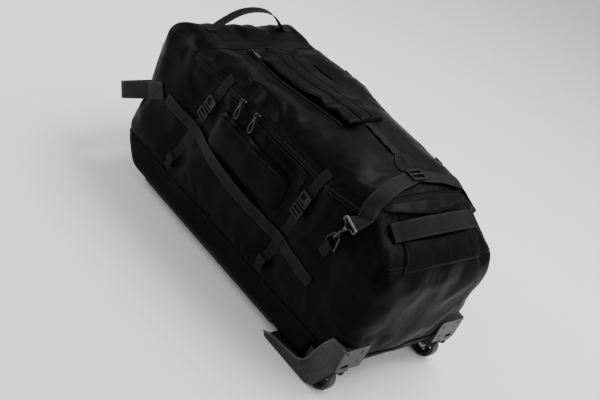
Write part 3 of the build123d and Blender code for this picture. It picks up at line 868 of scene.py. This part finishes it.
# ---------------------------------------------------------------- pieces that follow the fabric
def ease(values, rounds):
    """Points averaged with their neighbours, ends held."""
    values = [Vector(v) for v in values]
    for _ in range(rounds):
        middle = [(a + 2 * b + c) / 4 for a, b, c in zip(values, values[1:], values[2:])]
        values = [values[0], *middle, values[-1]]
    return values


def follow(route, lift=0.0, rounds=2):
    """Rows (point, across, normal) on the fabric along a route of (place, direction to look from)."""
    points = ease([surface(p, out, 0.0) for p, out in route], rounds)
    normals = [n.normalized() for n in ease([surface_normal(p, out) for p, out in route], 4)]
    rows = []
    for i, (p, normal) in enumerate(zip(points, normals)):
        run = (points[min(i + 1, len(points) - 1)] - points[max(i - 1, 0)]).normalized()
        across = normal.cross(run).normalized()
        rows.append((p + normal * lift, across, normal))
    return rows


def shifted(rows, across=0.0, lift=0.0):
    return [(p + a * across + n * lift, a, n) for p, a, n in rows]


def stitched_beside(rows, across, lift):
    """A row of stitches beside rows and above them."""
    return stitches([p for p, _, _ in shifted(rows, across, lift)])


def mirrored(half):
    """A route (place, direction) that ends in the middle plane, carried on over the other side."""
    return half + [(Vector((p.x, -p.y, p.z)), Vector((o.x, -o.y, o.z))) for p, o in reversed(half[:-1])]


def on_lid(x, y):
    """A place that looks straight down finds the lid from."""
    return Vector((x, y, 0.44))


def draped(lows, highs, out, steps, height, depth=1.5 * MM):
    """A sheet on the fabric between two edge lines; height(s, t) is how proud its face stands."""
    out = Vector(out).normalized()
    grid = []
    for low, high in zip(lows, highs):
        line = [Vector(low).lerp(Vector(high), j / steps) for j in range(steps + 1)]
        grid.append([surface(p, out) for p in line])
    rows, columns = len(grid), steps + 1
    top, under, uv = [], [], []
    for i in range(rows):
        for j in range(columns):
            along = grid[min(i + 1, rows - 1)][j] - grid[max(i - 1, 0)][j]
            over = grid[i][min(j + 1, steps)] - grid[i][max(j - 1, 0)]
            normal = along.cross(over).normalized()
            normal = normal if normal.dot(out) > 0 else -normal
            top.append(grid[i][j] + normal * height(i / (rows - 1), j / steps))
            under.append(grid[i][j] - normal * depth)
            uv.append((grid[i][j].x, grid[i][j].y + grid[i][j].z))
    faces = []
    count = rows * columns
    for i in range(rows - 1):
        for j in range(steps):
            a, b = i * columns + j, (i + 1) * columns + j
            quad = (a, b, b + 1, a + 1)
            faces.append(quad)
            faces.append(tuple(v + count for v in reversed(quad)))
    rim = list(range(columns)) + [(i + 1) * columns - 1 for i in range(1, rows)]
    rim += [rows * columns - 1 - j for j in range(1, columns)]
    rim += [i * columns for i in range(rows - 2, 0, -1)]
    for a, b in zip(rim, rim[1:] + rim[:1]):
        faces.append((a, b, b + count, a + count))
    if out.dot((top[columns] - top[0]).cross(top[1] - top[0])) < 0:
        faces = [tuple(reversed(face)) for face in faces]
    return top + under, faces, uv * 2


def face_line(sheet, steps, j):
    """The line on a draped sheet's face that lies j of its steps across."""
    return sheet[0][j:len(sheet[0]) // 2:steps + 1]


def outline(sheet, steps, inset):
    """A closed line on a draped sheet's face, set in from its rim by some grid steps."""
    columns = steps + 1
    rows = len(sheet[0]) // (2 * columns)
    line = [(inset, j) for j in range(inset, columns - inset)]
    line += [(i, columns - 1 - inset) for i in range(inset + 1, rows - inset)]
    line += [(rows - 1 - inset, j) for j in range(columns - 2 - inset, inset - 1, -1)]
    line += [(i, inset) for i in range(rows - 2 - inset, inset - 1, -1)]
    return [sheet[0][i * columns + j] for i, j in line]


def turned(side, degrees):
    """A direction in the cross section: 90 looks at the side wall, 0 looks down on the top."""
    angle = math.radians(degrees)
    return Vector((0, side * math.sin(angle), math.cos(angle)))


# line inside the body from which looking outwards finds its rounded top edges
SHOULDER_Y = 0.150
SHOULDER_Z = 0.395


def over_shoulder(place, side, start, end):
    """Route (place, direction) from the side wall up round the top edge; place(share) gives x."""
    made = []
    steps = 14
    for i in range(steps + 1):
        share = i / steps
        out = turned(side, start + (end - start) * share)
        made.append((Vector((place(share), side * SHOULDER_Y, SHOULDER_Z)), out))
    return made


def make_side_webbing():
    for label, side in SIDES.items():
        for name, (x, lean) in STRAPS.items():
            low = -(STRAP_MID_Z - SEAM_Z - 6 * MM)
            route = [
                (low, LOW_LAYER), (low + 0.014, LOW_LAYER), (low + 0.028, 0.010), (low + 0.048, 0.010),
                (low + 0.060, LOW_LAYER), (0.104, LOW_LAYER),
            ]
            rows = side_rows((x, STRAP_MID_Z), lean, route, side)
            first = [f"straps_lower_{label}"] if name == "front" else []
            sewn_strap(f"strap_lower_{name}_{label}", rows, STRAP_WIDTH, THICK, "bag", first, (2 * MM,))
            route = []
            for z in np.linspace(UPPER_STRAP_Z, SHOULDER_Z, 9):
                place = Vector((x + (z - STRAP_MID_Z) * math.tan(lean), side * HALF_WIDTH, z))
                route.append((place, Vector((0, side, 0))))
            top = x + (SHOULDER_Z - STRAP_MID_Z) * math.tan(lean)
            bend = over_shoulder(lambda share: top + 0.006 * share, side, 88, 52)
            rows = follow(route + bend, MID_LAYER, 3)
            first = [f"straps_upper_{label}"] if name == "front" else []
            sewn_strap(f"strap_upper_{name}_{label}", rows, STRAP_WIDTH, THICK, "lid", first, (2 * MM,))
        route = [
            (-0.300, LOW_LAYER), (-0.232, LOW_LAYER), (-0.222, MID_LAYER), (-0.170, MID_LAYER),
            (-0.120, 0.017), (-0.060, 0.025), (0.010, 0.027), (0.070, 0.022), (0.120, 0.012),
            (0.146, MID_LAYER), (0.196, MID_LAYER), (0.206, LOW_LAYER), (0.318, LOW_LAYER),
        ]
        rows = side_rows((0, 0.240), math.radians(96), route, side)
        sewn_strap(f"haul_webbing_{label}", rows, HAUL_WIDTH, THICK, "bag", [f"haul_handle_{label}"])


# ---------------------------------------------------------------- main zip
# profiles of (across, up) in mm
ZIP_TAPE = [(-4.6, -1.0), (4.6, -1.0), (4.6, 0.9), (3.0, 1.5), (-3.0, 1.5), (-4.6, 0.9)]
EDGE_BINDING = [(0, -1), (3.4, -1), (4.0, 2.4), (3.2, 3.6), (1.2, 3.6), (0, 2.6)]
BAND_TAPE = [(-6.5, -1.2), (6.5, -1.2), (6.5, 0.6), (-6.5, 0.6)]
POCKET_TAPE = [(-5.0, -1.2), (5.0, -1.2), (5.0, 0.5), (-5.0, 0.5)]


def zip_route():
    """Round the lid's opening: forward along the left side, over the front and back along the right."""
    half = []
    for x in np.linspace(LID_REAR + 0.006, LID_FRONT, 100):
        half.append((Vector((x, -HALF_WIDTH, LID_Z)), Vector((0, -1, 0))))
    for angle in np.linspace(80, 10, 14):
        half.append((Vector((LID_FRONT, -SHOULDER_Y, SHOULDER_Z)), turned(-1, angle)))
    for y in np.linspace(-SHOULDER_Y + 0.012, 0, 24):
        half.append((Vector((LID_FRONT, y, SHOULDER_Z)), UP))
    return mirrored(half)


def coil_teeth(rows, start, end, pitch, radius):
    """Short bars across a zip's edge, one pitch apart along rows."""
    parts = []
    left = 0.0
    for (a, across, _), (b, _, _) in zip(rows, rows[1:]):
        run = b - a
        length = run.length
        while left < length:
            p = a + run * (left / length)
            parts.append(tube([p + across * start, p + across * end], radius, 5))
            left += pitch
        left -= length
    return gather(parts)


def make_zip():
    rows = follow(zip_route())
    for name, body, sign in (("lower", "bag", -1), ("upper", "lid", 1)):
        beside = shifted(rows, sign * 5.6 * MM)
        strip = ribbon(f"zip_tape_{name}", beside, ZIP_TAPE, body, "zip_coil", MATERIALS["piping"])
        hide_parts(f"zip_chain_{name}")
        reach = (sign * 0.3 * MM, sign * 3.2 * MM)
        coil = coil_teeth(shifted(rows, 0, 1.6 * MM), *reach, 2.6 * MM, 0.85 * MM)
        piece(f"zip_coil_{name}", coil, body, "zip_coil")
        thread(f"zip_stitching_{name}", [stitched_beside(rows, sign * 8.6 * MM, 1.6 * MM)], body)
    ribbon("lid_edge_binding", shifted(rows, 9.6 * MM), EDGE_BINDING, "lid", "piping")


# ---------------------------------------------------------------- base seam
def make_seam_cord():
    rear = -0.372
    half = []
    for x in np.linspace(0.394, rear, 110):
        half.append((Vector((x, -HALF_WIDTH, SEAM_Z)), Vector((0, -1, 0))))
    for degrees in np.linspace(80, 10, 10):
        angle = math.radians(degrees)
        half.append((Vector((rear, -0.164, SEAM_Z)), Vector((-math.cos(angle), -math.sin(angle), 0))))
    for y in np.linspace(-0.160, 0, 24):
        half.append((Vector((rear, y, SEAM_Z)), Vector((-1, 0, 0))))
    front = [(Vector((0.4, y, SEAM_Z)), Vector((1, 0, 0))) for y in np.linspace(-0.130, 0.130, 40)]
    seams = [follow(route, 1.4 * MM) for route in (mirrored(half), front)]
    cords = [tube([p for p, _, _ in rows], 2.3 * MM, 10) for rows in seams]
    cord = piece("seam_cord", gather(cords), "bag", "piping")
    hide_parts("seam_piping")
    lines = [stitched_beside(rows, beside, -0.9 * MM) for rows in seams for beside in (-5.2 * MM, 5.2 * MM)]
    thread("seam_stitching", lines, "bag")


# ---------------------------------------------------------------- padded band and lid trim
BAND_X = (-0.262, 0.104)
BAND_HALF = 58 * MM
# places of the two grooves, as shares of the half width
GROOVES = (-0.36, 0.36)
# the daisy chain's first bar tack and the distance between tacks
CHAIN_START = 0.112
CHAIN_PITCH = 0.034
CHAIN_X = (0.110, 0.216)
TAB_X = (0.216, 0.264)
TAG_X = (0.040, 0.072)
TAG_Y = (0.062, 0.080)


def band_profile():
    """Half-round edges, three crowned channels and two sewn grooves between them."""
    points = [
        (-BAND_HALF + 1 * MM, -1 * MM), (-BAND_HALF - 0.8 * MM, 2 * MM), (-BAND_HALF - 1 * MM, 5.5 * MM),
    ]
    count = 56
    for i in range(count + 1):
        t = -1 + 2 * i / count
        edge = (1 - abs(t) ** 7) ** 0.5
        groove = sum(bump_at((t - g) * BAND_HALF, 2.4 * MM) for g in GROOVES)
        crown = 1.2 * MM * math.cos(math.pi * t * 1.4)
        points.append((t * BAND_HALF, 7.0 * MM + (4.2 * MM + crown) * edge - 4.6 * MM * groove * edge))
    mirror = [(-a, n) for a, n in reversed(points[:3])]
    return points + mirror


def make_padded_band():
    xs = np.linspace(*BAND_X, 74)
    rows = follow([(on_lid(x, 0), UP) for x in xs], 0.0, 6)

    def size(share):
        near = min(share, 1 - share) * (BAND_X[1] - BAND_X[0])
        return 0.25 + 0.75 * math.sqrt(max(0.0, 1 - (1 - min(near / 0.012, 1.0)) ** 2))

    band = piece("padded_band", swept(rows, band_profile(), size), "lid", "lid_fabric")
    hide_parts("lid_padded_band")
    lines = []
    for groove in GROOVES:
        for beside in (-3.4 * MM, 3.4 * MM):
            lines.append(stitched_beside(rows[3:-3], groove * BAND_HALF + beside, 9.9 * MM))
    thread("padded_band_stitching", lines, "lid")
    # zip coil of the band's own pocket, along its near edge
    track = follow([(on_lid(x, BAND_ZIP_Y), UP) for x in xs[2:-2]], 0.8 * MM, 4)
    ribbon("band_zip_tape", track, BAND_TAPE, "lid", "zip_coil", MATERIALS["piping"])
    coil = coil_teeth(shifted(track, 0, 1.0 * MM), -2.6 * MM, 2.6 * MM, 2.2 * MM, 0.7 * MM)
    piece("band_zip_coil", coil, "lid", "zip_coil")


def make_daisy_chain():
    """Webbing that stands off in loops between bar tacks."""
    points = []
    for x in np.linspace(*CHAIN_X, 64):
        loop = math.sin((x - CHAIN_START) / CHAIN_PITCH * math.pi) ** 2
        points.append(surface(on_lid(x, 0), UP, 1.6 * MM + 2.2 * MM * loop))
    rows = plane_rows(ease(points, 1), Vector((0, 1, 0)), lambda p: UP)
    chain = piece("daisy_chain_webbing", strap_solid(rows, 24 * MM, 1.8 * MM), "lid", "webbing")
    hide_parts("daisy_chain")
    tacks = []
    for k in range(4):
        for shift in (-1.6 * MM, 0, 1.6 * MM):
            x = CHAIN_START + CHAIN_PITCH * k + shift
            line = [surface(on_lid(x, y), UP, 3.0 * MM) for y in np.linspace(-0.011, 0.011, 9)]
            tacks.append(stitches(line))
    thread("daisy_chain_tacks", tacks, "lid")


def make_anchor_tab():
    """Pentagon tab that anchors the hood strap's buckle."""
    steps = 12
    xs = np.linspace(*TAB_X, 13)
    half = [24 * MM * min(1.0, 0.30 + 0.70 * (x - xs[0]) / 0.022) for x in xs]
    lows, highs = ([on_lid(x, sign * h) for x, h in zip(xs, half)] for sign in (-1, 1))
    sheet = draped(lows, highs, UP, steps, lambda s, t: 2.2 * MM)
    tab = piece("anchor_tab", sheet, "lid", "lid_fabric", smooth=False)
    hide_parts("strap_anchor_tab")
    thread("anchor_tab_stitching", [stitches(outline(sheet, steps, 1))], "lid")


def make_plain_tag():
    """Small plain tag on the far edge of the band."""
    lows, highs = ([on_lid(x, y) for x in np.linspace(*TAG_X, 7)] for y in TAG_Y)
    sheet = draped(lows, highs, UP, 5, lambda s, t: 1.2 * MM)
    piece("plain_tag", sheet, "lid", "piping", MATERIALS["button_plastic"], smooth=False)


# ---------------------------------------------------------------- hood strap and hood
# x of the point of the hood strap's V
HOOD_APEX = 0.286
HOOD_WIDTH = 40 * MM


def make_hood_strap():
    rise = HOOK_TOP[0] - HOOD_APEX
    half = over_shoulder(lambda share: HOOK_TOP[0] + 4 * MM - 0.016 * share, -1, 76, 10)
    for y in np.linspace(-SHOULDER_Y + 6 * MM, 0, 30):
        half.append((on_lid(HOOD_APEX + rise * abs(y) / 0.190, y), UP))
    rows = follow(mirrored(half), MID_LAYER)
    rows = to_bar(rows[0], -1) + rows + to_bar(rows[-1], 1)[::-1]
    sewn_strap("hood_webbing", rows, HOOD_WIDTH, THICK, "lid", ["hood_strap"], (2.4 * MM, 4.6 * MM))


def make_hood_flap():
    """Arched flap of the lid that overlaps the wheel end, with a dark sheet under its edge as painted shade
    of the opening below it.
    """
    steps = 8
    half = 0.150
    ys = np.linspace(-half, half, 41)
    lows = [slope_place(158 * MM, y) for y in ys]
    highs = [slope_place(150 * MM - 26 * MM * math.cos(y / half * math.pi / 2) ** 0.7, y) for y in ys]

    def proud(s, t):
        side = 1 - abs(2 * s - 1) ** 6
        return (2.0 + 6.0 * t * side) * MM

    flap = draped(lows, highs, SLOPE_OUT, steps, proud, 0.0)
    piece("hood_flap", flap, "lid", "lid_fabric")
    # painted shade: a sheet in the dark piping finish under the flap's edge stands in for the shadow in the
    # opening below the flap
    lows, highs = ([slope_place(distance * MM, y) for y in ys[4:-4]] for distance in (118, 152))
    piece("hood_recess_painted_shade", draped(lows, highs, SLOPE_OUT, 6, lambda s, t: 0.6 * MM, 1 * MM), "bag", "piping")
    piece("hood_flap_binding", tube(face_line(flap, steps, steps), 1.9 * MM, 8), "lid", "piping")
    line = face_line(flap, steps, steps - 2)
    thread("hood_flap_stitching", [stitches(line, 0.4 * MM, [SLOPE_OUT] * len(line))], "lid")


def to_bar(row, side):
    """Rows from a swivel base's bar up to the first row of the hood strap on the fabric."""
    start, across, normal = row
    bar = Vector((HOOK_TOP[0] - 1.2 * MM, side * (HALF_WIDTH + 9 * MM), HOOK_TOP[1] - 3.8 * MM))
    level = Vector((-0.951, 0, 0.309))
    level = level if level.dot(across) > 0 else -level
    out = Vector((0, side, 0))
    made = []
    count = 7
    for i in range(count):
        share = i / count
        turned_across = level.lerp(across, share).normalized()
        made.append((bar.lerp(start, share), turned_across, out.lerp(normal, share).normalized()))
    return made


def slope_place(distance, y=0.0):
    """A place on the wheel end's slope, a distance up from its lower edge."""
    x = WHEEL_END_X - distance * math.cos(SLOPE)
    return Vector((x, y, TOP_SEAM_Z + distance * math.sin(SLOPE)))


SLOPE_OUT = Vector((math.sin(SLOPE), 0, math.cos(SLOPE)))
SLOPE_UP = Vector((-math.cos(SLOPE), 0, math.sin(SLOPE)))


def make_wheel_end_grab():
    """Handle across the slope that clears the highest fabric under its width."""
    half = [(-0.150, 3.6 * MM), (-0.120, 4.6 * MM), (-0.06, 0.012)]
    route = half + [(0, 0.015)] + [(-y, up) for y, up in reversed(half)]
    base = slope_place(96 * MM)
    points = []
    for p in spline([(y, 0, up) for y, up in route], 5 * MM):
        place = base + Vector((0, p.x, 0))
        heights = []
        for share in np.linspace(-0.5, 0.5, 7):
            spot = surface(place + SLOPE_UP * END_WIDTH * share, SLOPE_OUT)
            heights.append((spot - place).dot(SLOPE_OUT))
        points.append(place + SLOPE_OUT * (max(heights) + p.z))
    rows = plane_rows(ease(points, 1), SLOPE_UP, lambda p: SLOPE_OUT)
    sewn_strap("wheel_end_grab", rows, END_WIDTH, THICK, "bag", ["wheel_end_grab_handle"])


def make_end_pocket():
    """Pocket between two curved seams."""
    steps = 48
    lows, highs = [], []
    for distance in np.linspace(6 * MM, 73 * MM, 16):
        share = (distance - 6 * MM) / (67 * MM)
        half = 0.146 - 0.020 * math.sin(share * math.pi / 2)
        lows.append(slope_place(distance, -half))
        highs.append(slope_place(distance, half))

    def proud(s, t):
        return (1.4 + 3.6 * (math.sin(math.pi * t) * math.sin(math.pi * s)) ** 0.5) * MM

    sheet = draped(lows, highs, SLOPE_OUT, steps, proud)
    pocket = piece("end_pocket_fabric", sheet, "bag", "coated_fabric")
    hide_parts("end_pocket")
    lines = []
    for j in (1, steps - 1):
        line = face_line(sheet, steps, j)
        lines.append(stitches(line, 0.4 * MM, [SLOPE_OUT] * len(line)))
    thread("end_pocket_stitching", lines, "bag")
    for label, j in (("left", 0), ("right", steps)):
        piece(f"end_pocket_seam_{label}", tube(face_line(sheet, steps, j), 1.3 * MM, 8), "bag", "piping")


def make_brow_cord():
    """Corded seam along the lower edge of the slope."""
    brow = []
    for y in np.linspace(-0.186, 0.186, 70):
        z = TOP_SEAM_Z + 0.010 * math.cos(y / HALF_WIDTH * math.pi / 2)
        brow.append((Vector((0.40, y, z)), Vector((1, 0, 0))))
    rows = follow(brow, 0.9 * MM, 3)
    piece("brow_cord", tube([p for p, _, _ in rows], 1.7 * MM, 8), "bag", "piping")
    lines = [stitched_beside(rows, beside, -0.5 * MM) for beside in (-4 * MM, 4 * MM)]
    thread("brow_stitching", lines, "bag")


def make_ring_tabs():
    route = [
        (0.120, 1.2 * MM), (0.096, 1.2 * MM), (0.0875, 0.9 * MM), (0.0824, 2.2 * MM), (0.0824, 5.6 * MM),
        (0.0870, 7.2 * MM), (0.094, 5.4 * MM), (0.102, 3.4 * MM), (0.120, 3.0 * MM),
    ]
    up = Vector((math.sin(HOOK_LEAN), 0, math.cos(HOOK_LEAN)))
    across = Vector((-math.cos(HOOK_LEAN), 0, math.sin(HOOK_LEAN)))
    for label, side in SIDES.items():
        points = []
        for p in spline([(u, 0, w) for u, w in route], 1.5 * MM):
            at = Vector((HOOK_TOP[0], 0, HOOK_TOP[1])) + up * p.x
            at.y = side * (HALF_WIDTH + p.z)
            points.append(at)
        strap = strap_solid(plane_rows(points, across), 26 * MM, 1.2 * MM)
        tab = piece(f"ring_tab_{label}", strap, "bag", "webbing")
        if label == "left":
            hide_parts("ring_tabs")


# ---------------------------------------------------------------- side pockets
POCKET_X = (-0.136, 0.140)
POCKET_Z = (0.262, 0.366)
POCKET_ROUND = 30 * MM


def crowded(share):
    """0 to 1, with even steps crowded towards both ends."""
    return 0.5 - 0.5 * math.cos(math.pi * share)


def make_side_pockets():
    steps, count = 26, 61
    middle = sum(POCKET_Z) / 2
    tall = (POCKET_Z[1] - POCKET_Z[0]) / 2
    for label, side in SIDES.items():
        lows, highs = [], []
        for i in range(count):
            x = POCKET_X[0] + (POCKET_X[1] - POCKET_X[0]) * crowded(i / (count - 1))
            near = min(x - POCKET_X[0], POCKET_X[1] - x)
            short = max(0.0, POCKET_ROUND - near)
            cut = POCKET_ROUND - math.sqrt(POCKET_ROUND ** 2 - short ** 2)
            lows.append((x, side * HALF_WIDTH, middle - tall + cut))
            highs.append((x, side * HALF_WIDTH, middle + tall - cut))

        def proud(s, t):
            x = crowded(s)
            u, v = abs(2 * x - 1), abs(2 * t - 1)
            swell = math.sqrt(max(0.0, 1 - u ** 8)) * math.sqrt(max(0.0, 1 - v ** 5))
            ripple = noise.noise(Vector((x * 5, t * 2.5, 4.0 + side))) * 1.4
            return (1.0 + (9.6 + ripple) * swell) * MM

        panel = draped(lows, highs, (0, side, 0), steps, proud)
        pocket = piece(f"pocket_panel_{label}", panel, "bag", "pocket_fabric")
        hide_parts(f"side_pocket_{label}")
        rim = outline(panel, steps, 0)
        piece(f"pocket_piping_{label}", tube(rim[:-1], 1.5 * MM, 8, closed=True), "bag", "piping")
        tree = BVHTree.FromPolygons(panel[0], panel[1])
        rows = []
        for x in np.linspace(POCKET_X[0] + 0.024, POCKET_X[1] - 0.024, 60):
            place = Vector((x, side * 0.30, POCKET_Z[1] - 17 * MM))
            hit, _, _, _ = tree.ray_cast(place, Vector((0, -side, 0)))
            rows.append((hit, UP, Vector((0, side, 0))))
        ribbon(f"pocket_zip_tape_{label}", rows, POCKET_TAPE, "bag", "zip_coil", MATERIALS["piping"])
        coil = coil_teeth(shifted(rows, 0, 0.8 * MM), -2.2 * MM, 2.2 * MM, 2.2 * MM, 0.6 * MM)
        piece(f"pocket_zip_coil_{label}", coil, "bag", "zip_coil")


def make_pocket_yokes():
    """Smooth facing between each side pocket and the zip, from one strap to the other."""
    steps = 14
    for label, side in SIDES.items():
        lows, highs = [], []
        for x in np.linspace(POCKET_X[0] - 12 * MM, POCKET_X[1] + 34 * MM, 70):
            round_off = 10 * MM * (1 - min(1.0, (x - POCKET_X[0] + 12 * MM) / 0.03)) ** 2
            lows.append((x - 6 * MM, side * HALF_WIDTH, POCKET_Z[1] - 28 * MM + round_off))
            highs.append((x, side * HALF_WIDTH, LID_Z - 12 * MM))
        yoke = draped(lows, highs, (0, side, 0), steps, lambda s, t: 0.9 * MM, 1.0 * MM)
        piece(f"pocket_yoke_{label}", yoke, "bag", "pocket_fabric")
        line = [p + Vector((0, side * 0.3 * MM, 0)) for p in outline(yoke, steps, 1)]
        thread(f"pocket_yoke_stitching_{label}", [stitches(line)], "bag")


def make_guard_rims():
    """Rolled rim along the scooped upper edge of each wheel guard."""
    route = [(0.264, 0.012), (0.292, 0.0215), (0.338, 0.0275), (0.380, 0.035), (0.401, 0.056),
             (0.409, 0.086), (0.418, 0.113), (0.430, 0.139), (0.440, 0.1488), (0.477, 0.1488)]
    for label, side in SIDES.items():
        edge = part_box(f"wheel_guard_{label}")[1 if side > 0 else 0].y - side * 1.2 * MM
        rim = tube(spline([(x, edge, z) for x, z in route], 3 * MM), 2.4 * MM, 10)
        piece(f"guard_rim_{label}", rim, "bag", "guard_plastic", MATERIALS["button_plastic"])


def make_band_opening_shade():
    """Dark sheet beside the band's far edge, wider in the middle, with a corded lip: painted shade in place
    of the hollow of a pocket opening.
    """
    steps = 8
    start, end = -0.215, -0.020
    lows, highs = [], []
    for x in np.linspace(start, end, 50):
        lens = math.sin(math.pi * (x - start) / (end - start)) ** 0.8
        lows.append(on_lid(x, BAND_HALF - 3 * MM))
        highs.append(on_lid(x, BAND_HALF + 1 * MM + 30 * MM * lens))
    # painted shade: a sheet in the dark piping finish, barely proud of the lid, stands in for the shadowed
    # hollow of the pocket opening
    mouth_shade = draped(lows, highs, UP, steps, lambda s, t: (0.5 + 1.2 * t * t) * MM)
    piece("band_opening_painted_shade", mouth_shade, "lid", "piping")
    piece("band_opening_lip", tube(face_line(mouth_shade, steps, steps), 2.6 * MM, 10), "lid", "lid_fabric")


# ---------------------------------------------------------------- end handles
# where the wide handle leaves the side walls (x, z), how steeply it slopes and how far out it reaches
END_ROOT = (-0.318, 0.279)
END_SLOPE = math.radians(34)
END_TIP = 0.168
# corners of the box stitching at the handle's roots, as (down, across) from the root
BOX_STITCH = [(0.006, -0.017), (0.058, -0.017), (0.058, 0.017), (0.006, 0.017), (0.006, -0.017),
              (0.058, 0.017), (0.058, -0.017), (0.006, 0.017)]


def make_end_handle():
    down = Vector((-math.cos(END_SLOPE), 0, -math.sin(END_SLOPE)))
    across = Vector((-math.sin(END_SLOPE), 0, math.cos(END_SLOPE)))
    root = Vector((END_ROOT[0], 0, END_ROOT[1]))
    stretch = 1 / math.cos(END_SLOPE)
    side = HALF_WIDTH
    half = [(0.0, side), (0.030, side), (0.066, side), (0.110, side + 3 * MM), (0.140, side + 4 * MM),
            (0.154, side + 1 * MM), (END_TIP, side - 12 * MM), (END_TIP + 1 * MM, side - 0.034),
            (END_TIP, side - 0.110)]
    route = [(u * stretch, -y, 0) for u, y in half] + [(u * stretch, y, 0) for u, y in reversed(half)]
    points = []
    for p in spline(route, 5 * MM):
        at = root + down * p.x + Vector((0, p.y, 0))
        if p.x < 0.080:
            sign = -1 if p.y < 0 else 1
            at.y = surface(at, (0, sign, 0), 1.4 * MM).y
        points.append(at)
    rows = plane_rows(ease(points, 2), across, lambda p: p - Vector((-0.30, 0, 0.24)))
    sewn_strap("end_haul_webbing", rows, END_WIDTH, 2.4 * MM, "bag", ["end_haul_handle"])
    lines = []
    for sign in (-1, 1):
        corners = []
        for u, v in BOX_STITCH:
            at = root + down * u + across * v
            at.y = surface(at, (0, sign, 0), 2.9 * MM).y
            corners.append(at)
        for a, b in zip(corners, corners[1:]):
            lines.append(stitches([a, a.lerp(b, 0.5), b]))
    thread("end_haul_box_stitching", lines, "bag")


def make_top_grab():
    x = -0.345
    half = [(0.146, 1.2), (0.120, 1.2), (0.104, 14), (0.084, 29), (0.060, 43.5), (0.032, 52.5)]
    base = surface((x, 0.12, 0.40), (0, 0, 1), 0.0).z
    route = [(x, -y, base + z * MM) for y, z in half] + [(x, 0, base + 55.5 * MM)]
    route += [(x, y, base + z * MM) for y, z in reversed(half)]
    points = spline(route, 4 * MM)
    rows = plane_rows(points, Vector((1, 0, 0)), lambda p: p - Vector((x, 0, 0.36)))
    sewn_strap("top_grab_webbing", rows, 25 * MM, 2.2 * MM, "bag", ["top_grab_handle"])


# ---------------------------------------------------------------- zip pulls and hinge strip
def make_pull_loops():
    """Round cord loops on the two main sliders, hanging from each slider's pin."""
    count = 40
    for name in ("front", "rear"):
        low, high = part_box(f"zip_pull_{name}")
        x = (low.x + high.x) / 2
        y = (low.y + high.y) / 2
        top = high.z - 2.3 * MM
        length = top - low.z
        points = []
        for i in range(count):
            a = 2 * math.pi * i / count
            drop = (1 - math.cos(a)) / 2
            wide = 7.5 * MM * math.sin(a) * (0.35 + 0.65 * smoothstep(drop, 0.1, 0.8))
            points.append(Vector((x + wide, y, top - length * drop)))
        ring = tube(points, 1.5 * MM, 10, closed=True)
        crimp = tube([Vector((x, y, top - below * MM)) for below in (6, 9, 13)], 2.8 * MM, 12)
        loop = piece(f"pull_loop_{name}", gather([ring, crimp]), f"zip_pull_{name}", "pull_rubber")
        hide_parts(f"zip_pull_{name}")


def make_hinge_strip():
    """Fabric that joins the lid to the walls along the rear edge."""
    lows, highs = (
        [(LID_REAR + reach, y, 0.42) for y in np.linspace(-0.176, 0.176, 60)] for reach in (-0.013, 0.013)
    )
    sheet = draped(lows, highs, UP, 12, lambda s, t: 1.6 * MM, 1.0 * MM)
    strip = piece("hinge_strip", sheet, None, "lid_fabric")
    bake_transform(strip)


MATERIALS = make_materials()
make_camera()
make_stage()
for entry in frame["record"]["subparts"]:
    node = frame["nodes"][entry["node"]]
    node.data.materials.clear()
    node.data.materials.append(MATERIALS[entry["material_slot"]])
FABRIC = make_soft_body()
make_side_webbing()
make_zip()
make_seam_cord()
make_padded_band()
make_daisy_chain()
make_anchor_tab()
make_plain_tag()
make_hood_strap()
make_hood_flap()
make_ring_tabs()
make_side_pockets()
make_pocket_yokes()
make_guard_rims()
make_band_opening_shade()
make_end_handle()
make_top_grab()
make_wheel_end_grab()
make_end_pocket()
make_brow_cord()
make_pull_loops()
make_hinge_strip()
